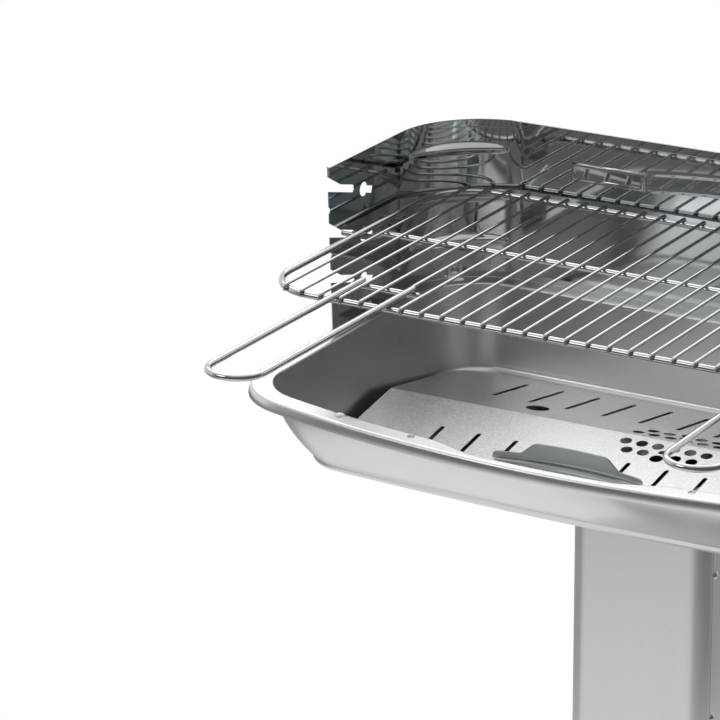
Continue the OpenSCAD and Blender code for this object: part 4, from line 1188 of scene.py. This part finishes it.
# Charcoal tray

@dataclass
class CharcoalPlate:
    """Perforated plate folded along its middle. It is worked out flat, as x and length across the fold."""

    half_w: float = 286.0
    half_d: float = 137.5
    fall: float = 0.165
    ridge_z: float = 676.84
    sheet: float = 1.2
    shown_sheet: float = 0.6
    fold_half: float = 1.2
    front_r: float = 80.0
    back_r: float = 38.0
    slots: int = 12
    slot_pitch: float = 37.3
    slot_start: float = 47.4
    slot_len: float = 68.1
    slot_w: float = 4.2
    hole_pitch: float = 15.8
    # Distance from the fold, radius and places along it, in pitches, of each row of round holes
    hole_rows: tuple[tuple[float, float, tuple[float, ...]], ...] = (
        (12.4, 5.4, (-2.5, -1.5, -0.5, 0.5, 1.5, 2.5)), (26.8, 5.4, (-2, -1, 1, 2)), (20.7, 3.2, (0,)),
        (32.4, 6.0, (0,)))
    # Place along the fold, distance from it and radius of the finger holes
    finger: tuple[float, float, float] = (150.0, 29.4, 11.0)
    hole_sides: int = 28
    cap_count: int = 9
    corner_steps: int = 16
    line_overrun: float = 1.0

    def surface(self, s: Array, h: Array, top: bool) -> Array:
        """Points of the upper or lower face.

        The sheet falls by sin(a) for each unit of length away from the fold; within the fold's half width w
        the length t gives way to t^2 / 2w, which rounds the ridge.

        Args:
            s: Places along the fold.
            h: Lengths across it.
            top: Whether the face is the upper one.

        Returns:
            The points.
        """
        a = math.atan(self.fall)
        w = self.fold_half
        away = np.where(abs(h) < w, h * h / (2 * w), abs(h) - w / 2)
        turn = np.clip(h / w, -1, 1) * math.sin(a)
        lift = self.sheet / 2 if top else self.sheet / 2 - self.shown_sheet
        return points_of(s, h * math.cos(a) + lift * turn,
                         self.ridge_z - away * math.sin(a) + lift * np.sqrt(1 - turn * turn))

    def outline(self) -> Array:
        """Outline of the flat sheet, with large rounded corners in front and smaller ones behind.

        Returns:
            Its points.
        """
        w, d = self.half_w, self.half_d * math.sqrt(1 + self.fall ** 2)
        corners = np.array([[-w, -d], [w, -d], [w, d], [-w, d]])
        radii = [self.front_r, self.front_r, self.back_r, self.back_r]
        return rounded(corners, radii, self.corner_steps, True)

    def cuts(self) -> list[Array]:
        """Outlines of slots and round holes on both slopes.

        Returns:
            The outlines.
        """
        turn = np.linspace(0, 2 * math.pi, self.hole_sides, endpoint=False)
        circle = points_of(np.cos(turn), np.sin(turn))
        half = np.linspace(0, math.pi, self.cap_count)
        r = self.slot_w / 2
        cap = points_of(r * np.cos(half), r * np.sin(half))
        slot = np.vstack([cap + [0, self.slot_start + self.slot_len - r], -cap + [0, self.slot_start + r]])
        slot_x = (np.arange(self.slots) - (self.slots - 1) / 2) * self.slot_pitch
        out: list[Array] = []
        for k in (-1, 1):
            out += [(slot + [x, 0]) * [1, k] for x in slot_x]
            for d, radius, places in self.hole_rows:
                out += [circle * radius + [p * self.hole_pitch, k * d] for p in places]
            x, d, radius = self.finger
            out.append(circle * radius + [k * x, d])
        return out

    def build(self, zinc: bpy.types.Material) -> None:
        """Makes the folded plate.

        Args:
            zinc: Its material.
        """
        far = self.half_w + self.line_overrun
        lines = [points_of([-far, far], t) for t in (-self.fold_half, 0.0, self.fold_half)]
        plate = bent_sheet("charcoal_plate_sheet", [self.outline()] + self.cuts(), lines, self.surface)
        place(plate, zinc, "galvanised_sheet", Body.TRAY, "charcoal_plate")


@dataclass
class LiftTab:
    """Hat-shaped tab bent from one strip: a web from the plate's edge, a narrow shelf and an upright band."""

    half_d: float = 137.5
    fall: float = 0.165
    ridge_z: float = 676.84
    plate_t: float = 1.2
    sheet: float = 1.5
    band_y: float = -193.0
    shelf_y: float = -207.0
    top_z: float = 734.0
    shelf_z: tuple[float, float] = (718.5, 716.0)
    foot_d: float = 16.0
    radii: tuple[float, ...] = (0.0, 2.5, 5.0, 5.0, 0.0)
    bend_steps: int = 6
    bow: float = 9.0
    # Length down the strip from its top edge, and half its width there
    spans: tuple[tuple[float, float], ...] = (
        (0.0, 31.5), (0.25, 33.2), (0.8, 34.9), (1.8, 36.6), (9.0, 45.2), (9.9, 47.0), (10.4, 49.5),
        (10.6, 66.5), (10.9, 68.4), (11.6, 69.9), (12.6, 70.8), (14.0, 71.0), (16.0, 71.0), (21.0, 67.0),
        (30.0, 62.0), (118.0, 52.0), (138.0, 52.0))
    edge_shares: tuple[float, float, float] = (0.9, 0.97, 1.0)
    edge_thin_share: float = 0.4
    across_count: int = 19
    sharp_angle: float = 40.0

    def build(self, steel: bpy.types.Material) -> None:
        """Sections across the strip are carried down its bent middle line.

        The strip is bowed in plan: a point moves forwards by bow * (x / half width)^2, in full at the shelf's
        height and not at all at the plate.

        Args:
            steel: Its material.
        """
        foot_z = self.ridge_z - self.half_d * self.fall + (self.plate_t + self.sheet) / 2
        corners = np.array([[self.band_y, self.top_z], [self.band_y, self.shelf_z[0]],
                            [self.shelf_y, self.shelf_z[1]], [-self.half_d, foot_z],
                            [self.foot_d - self.half_d, foot_z + self.foot_d * self.fall]])
        line = rounded(corners, self.radii, self.bend_steps)
        length = np.concatenate([[0], np.cumsum(np.linalg.norm(np.diff(line, axis=0), axis=1))])
        at, widths = np.array(self.spans).T
        t = np.unique(np.concatenate([length, at[at < length[-1]]]))
        y, z = np.interp(t, length, line[:, 0]), np.interp(t, length, line[:, 1])
        half = np.interp(t, at, widths)
        slope = points_of(np.gradient(y, t), np.gradient(z, t))
        slope /= np.linalg.norm(slope, axis=1, keepdims=True)
        normal = points_of(slope[:, 1], -slope[:, 0])
        inner, near, outer = self.edge_shares
        u = np.concatenate([[-outer, -near], np.linspace(-inner, inner, self.across_count), [near, outer]])
        edge = np.ones(len(u)) * self.sheet / 2
        edge[[0, -1]] *= self.edge_thin_share
        x = half[:, None] * np.concatenate([u, u[::-1]])
        lift = np.concatenate([edge, -edge[::-1]])
        share = np.clip((z - foot_z) / (self.shelf_z[1] - foot_z), 0, 1)[:, None]
        bowed = y[:, None] - self.bow * share * (x / half.max()) ** 2
        rings = points_of(x, bowed + normal[:, :1] * lift, z[:, None] + normal[:, 1:] * lift)
        tab = make_object("lift_tab_strip", loft(rings), self.sharp_angle)
        place(tab, steel, "tab_steel", Body.TRAY, "plate_lift_tab")


# Studio

@dataclass(frozen=True)
class Softbox:
    """One lamp: place and size in metres, and how bright its face is against a white of one."""

    name: str
    at: tuple[float, float, float]
    size: tuple[float, float]
    brightness: float


@dataclass(frozen=True)
class Fade:
    """Level that goes smoothly from one value to another between two limits."""

    start: float
    end: float
    first: float = 0.0
    last: float = 1.0

    def values(self) -> dict[str, float]:
        """Its limits and levels by the names of the inputs that take them."""
        return {"From Min": self.start, "From Max": self.end, "To Min": self.first, "To Max": self.last}


@dataclass
class Studio:
    """Camera of the photograph, soft lamps, pale floor and world. Lengths in metres, angles in degrees."""

    eye: tuple[float, float, float] = (1.5256, -3.1536, 1.9981)
    yaw: float = 30.327
    pitch: float = 19.581
    roll: float = 0.3025
    lens: float = 211.34
    sensor: float = 36.0
    clip_end: float = 50.0
    aim: tuple[float, float, float] = (0.0, 0.0, 0.75)
    lamps: tuple[Softbox, ...] = (
        Softbox("overhead_softbox", (0.2, -0.2, 3.2), (3.4, 2.8), 0.6),
        Softbox("rear_softbox", (-1.9, 3.0, 3.7), (4.2, 2.6), 1.9),
        Softbox("front_softbox", (-1.9, -2.6, 2.9), (1.5, 1.5), 2.5))
    # Angle round the grill from the front, to the right, and how bright mirrored rays find the studio there
    surround: tuple[tuple[float, float], ...] = (
        (-180, 1.0), (-140, 0.9), (-115, 0.4), (-55, 0.4), (-38, 1.0), (10, 1.0), (38, 0.4), (80, 0.24),
        (140, 0.22), (155, 0.4), (175, 1.0), (180, 1.0))
    # World: the direction behind the grill, and the range over which mirrored rays go from dim to white
    behind: tuple[float, float, float] = (-0.505, 0.863, 0.0)
    world_fade: Fade = Fade(-0.25, 0.35, 0.16)
    world_light: float = 0.45
    floor_r: float = 2.6
    floor_sides: int = 96
    floor_gap: float = 0.0004
    floor_colour: str = "#F2F2F2"
    # Floor, over the distance from its middle: share of plain white for seen and for mirrored rays, then how
    # far the tone of mirrored rays follows the surround, and how it dims at the edge
    seen_fade: Fade = Fade(0.35, 0.9)
    mirrored_fade: Fade = Fade(0.12, 0.35)
    surround_fade: Fade = Fade(0.7, 1.1)
    far_fade: Fade = Fade(1.7, 2.2, 1.0, 0.3)

    def camera(self) -> None:
        """Stands the camera where the photograph was taken from: turned by yaw, then pitch, then roll."""
        yaw, pitch, roll = (math.radians(v) for v in (self.yaw, self.pitch, self.roll))
        ahead = Vector((-math.sin(yaw) * math.cos(pitch), math.cos(yaw) * math.cos(pitch), -math.sin(pitch)))
        level_right = Vector((math.cos(yaw), math.sin(yaw), 0))
        level_down = ahead.cross(level_right)
        right = math.cos(roll) * level_right + math.sin(roll) * level_down
        down = -math.sin(roll) * level_right + math.cos(roll) * level_down
        data = bpy.data.cameras.new("photo_camera")
        data.sensor_width = self.sensor
        data.lens = self.lens
        data.clip_end = self.clip_end
        camera = add_object("photo_camera", data)
        turn = Matrix((right, -down, -ahead)).transposed()
        camera.matrix_world = Matrix.Translation(self.eye) @ turn.to_4x4()
        bpy.context.scene.camera = camera

    def softbox(self, box: Softbox) -> None:
        """Adds a soft rectangular lamp that faces the fire pan; its power is brightness * pi * area.

        Args:
            box: The lamp's sizes.
        """
        data = bpy.data.lights.new(box.name, "AREA")
        data.shape = "RECTANGLE"
        data.size, data.size_y = box.size
        data.energy = box.brightness * math.pi * box.size[0] * box.size[1]
        lamp = add_object(box.name, data)
        lamp.location = box.at
        lamp.rotation_euler = (Vector(self.aim) - Vector(box.at)).to_track_quat("-Z", "Y").to_euler()

    def around(self, tree: bpy.types.NodeTree, spot: bpy.types.NodeSocket) -> bpy.types.NodeSocket:
        """How bright mirrored rays find the studio all round: a ramp over the angle atan2(x, -y) of a place.

        Args:
            tree: Node tree that takes the nodes.
            spot: Socket that gives the place.

        Returns:
            The socket that gives the tone.
        """
        parts = add_node(tree, "ShaderNodeSeparateXYZ", {}, {0: spot}).outputs
        ahead = add_node(tree, "ShaderNodeMath", {1: -1.0}, {0: parts[1]}, operation="MULTIPLY")
        turn = add_node(tree, "ShaderNodeMath", {}, {0: parts[0], 1: ahead.outputs[0]}, operation="ARCTAN2")
        share = add_node(tree, "ShaderNodeMapRange", {"From Min": -math.pi, "From Max": math.pi},
                         {"Value": turn.outputs[0]})
        ramp = add_node(tree, "ShaderNodeValToRGB", {}, {0: share.outputs[0]})
        stops = ramp.color_ramp.elements
        for i, (angle, level) in enumerate(self.surround):
            at = (angle + 180) / 360
            stop = stops[0] if i == 0 else stops[-1] if i == len(self.surround) - 1 else stops.new(at)
            stop.position = at
            stop.color = (level, level, level, 1)
        return ramp.outputs[0]

    def world(self) -> None:
        """White for camera rays; mirrored rays find it white behind the object and dimmer in front."""
        world = bpy.data.worlds.new("studio_world")
        bpy.context.scene.world = world
        tree = empty_tree(world)
        path = add_node(tree, "ShaderNodeLightPath").outputs
        direction = add_node(tree, "ShaderNodeTexCoord").outputs["Generated"]
        behind = add_node(tree, "ShaderNodeVectorMath", {1: self.behind}, {0: direction},
                          operation="DOT_PRODUCT").outputs["Value"]
        tone = add_node(tree, "ShaderNodeMapRange", self.world_fade.values(), {"Value": behind},
                        interpolation_type="SMOOTHSTEP").outputs[0]
        rays = {0: path["Is Camera Ray"], 1: path["Is Transmission Ray"]}
        seen = add_node(tree, "ShaderNodeMath", {}, rays, operation="MAXIMUM").outputs[0]
        shown = add_node(tree, "ShaderNodeMath", {}, {0: seen, 1: tone}, operation="MAXIMUM").outputs[0]
        direct = add_node(tree, "ShaderNodeMath", {}, {0: seen, 1: path["Is Glossy Ray"]},
                          operation="MAXIMUM").outputs[0]
        level = add_node(tree, "ShaderNodeMix", {2: self.world_light}, {0: direct, 3: shown}).outputs[0]
        light = add_node(tree, "ShaderNodeBackground", {"Color": (1, 1, 1, 1)}, {"Strength": level})
        add_node(tree, "ShaderNodeOutputWorld", {}, {"Surface": light.outputs[0]})

    def floor(self) -> None:
        """Round pale floor: it keeps the shadow near the object and is plain white farther out."""
        w = np.linspace(0, 2 * math.pi, self.floor_sides, endpoint=False)
        ring = points_of(self.floor_r * np.cos(w), self.floor_r * np.sin(w), -self.floor_gap)
        mesh = bpy.data.meshes.new("studio_floor")
        mesh.from_pydata(ring.tolist(), [], [tuple(range(self.floor_sides))])
        floor = add_object("studio_floor", mesh)
        material = bpy.data.materials.new("pale_studio_floor")
        tree = empty_tree(material)
        spot = add_node(tree, "ShaderNodeTexCoord").outputs["Object"]
        far = add_node(tree, "ShaderNodeVectorMath", {}, {0: spot}, operation="LENGTH").outputs["Value"]
        seen, mirrored, beyond, dimmer = (
            add_node(tree, "ShaderNodeMapRange", fade.values(), {"Value": far},
                     interpolation_type="SMOOTHSTEP").outputs[0]
            for fade in (self.seen_fade, self.mirrored_fade, self.surround_fade, self.far_fade))
        path = add_node(tree, "ShaderNodeLightPath").outputs
        rays = {0: path["Is Camera Ray"], 1: path["Is Transmission Ray"]}
        direct = add_node(tree, "ShaderNodeMath", {}, rays, operation="MAXIMUM").outputs[0]
        tone = add_node(tree, "ShaderNodeMix", {2: 1.0}, {0: beyond, 3: self.around(tree, spot)}).outputs[0]
        tone = add_node(tree, "ShaderNodeMath", {}, {0: tone, 1: dimmer}, operation="MULTIPLY").outputs[0]
        tone = add_node(tree, "ShaderNodeMath", {}, {0: direct, 1: tone}, operation="MAXIMUM").outputs[0]
        shares = [add_node(tree, "ShaderNodeMath", {}, {0: ray, 1: fade}, operation="MULTIPLY").outputs[0]
                  for ray, fade in ((direct, seen), (path["Is Glossy Ray"], mirrored))]
        share = add_node(tree, "ShaderNodeMath", {}, dict(enumerate(shares)), operation="MAXIMUM").outputs[0]
        matt = add_node(tree, "ShaderNodeBsdfDiffuse", {"Color": linear(self.floor_colour)})
        white = add_node(tree, "ShaderNodeEmission", {"Color": (1, 1, 1, 1)}, {"Strength": tone})
        mix = add_node(tree, "ShaderNodeMixShader", {}, {0: share, 1: matt.outputs[0], 2: white.outputs[0]})
        add_node(tree, "ShaderNodeOutputMaterial", {}, {"Surface": mix.outputs[0]})
        mesh.materials.append(material)

    def build(self) -> None:
        """Sets up camera, lamps, world and floor."""
        self.camera()
        for box in self.lamps:
            self.softbox(box)
        self.world()
        self.floor()
        bpy.context.scene.view_settings.view_transform = "Standard"


def main() -> None:
    """Builds every piece in order."""
    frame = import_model()
    Studio().build()
    finishes = {f.name: f.build() for f in (PAN_STEEL, MIRROR, ZINC, TAB_STEEL_PAINTED_SHADE, CHROME, SCREW, COLUMN_STEEL,
                                            BRACKET, BASE_STEEL, RUBBER, PLASTIC)}
    FirePan().build(finishes[PAN_STEEL.name])
    Windshield().build(finishes[MIRROR.name])
    CookingGrid().build(finishes[CHROME.name])
    CharcoalPlate().build(finishes[ZINC.name])
    # The lift tab's darker grey is painted shade
    LiftTab().build(finishes[TAB_STEEL_PAINTED_SHADE.name])
    dress(frame, finishes[ZINC.name], "ash_drawer")
    dress(frame, finishes[SCREW.name], "rim_screws", "rim_nuts", "windshield_screws", "windshield_nuts",
          "column_seam_screws", "pan_bolts", "base_bolts")
    dress(frame, finishes[COLUMN_STEEL.name], "column_front", "column_rear", "drawer_front")
    dress(frame, finishes[BRACKET.name], "column_top_flange", "column_foot_flange", "drawer_rails")
    dress(frame, finishes[BASE_STEEL.name], "base_plate")
    dress(frame, finishes[RUBBER.name], "base_feet")
    dress(frame, finishes[PLASTIC.name], "drawer_knob")


if __name__ == "__main__":
    logging.basicConfig(level=logging.INFO, format="%(name)s: %(message)s")
    main()
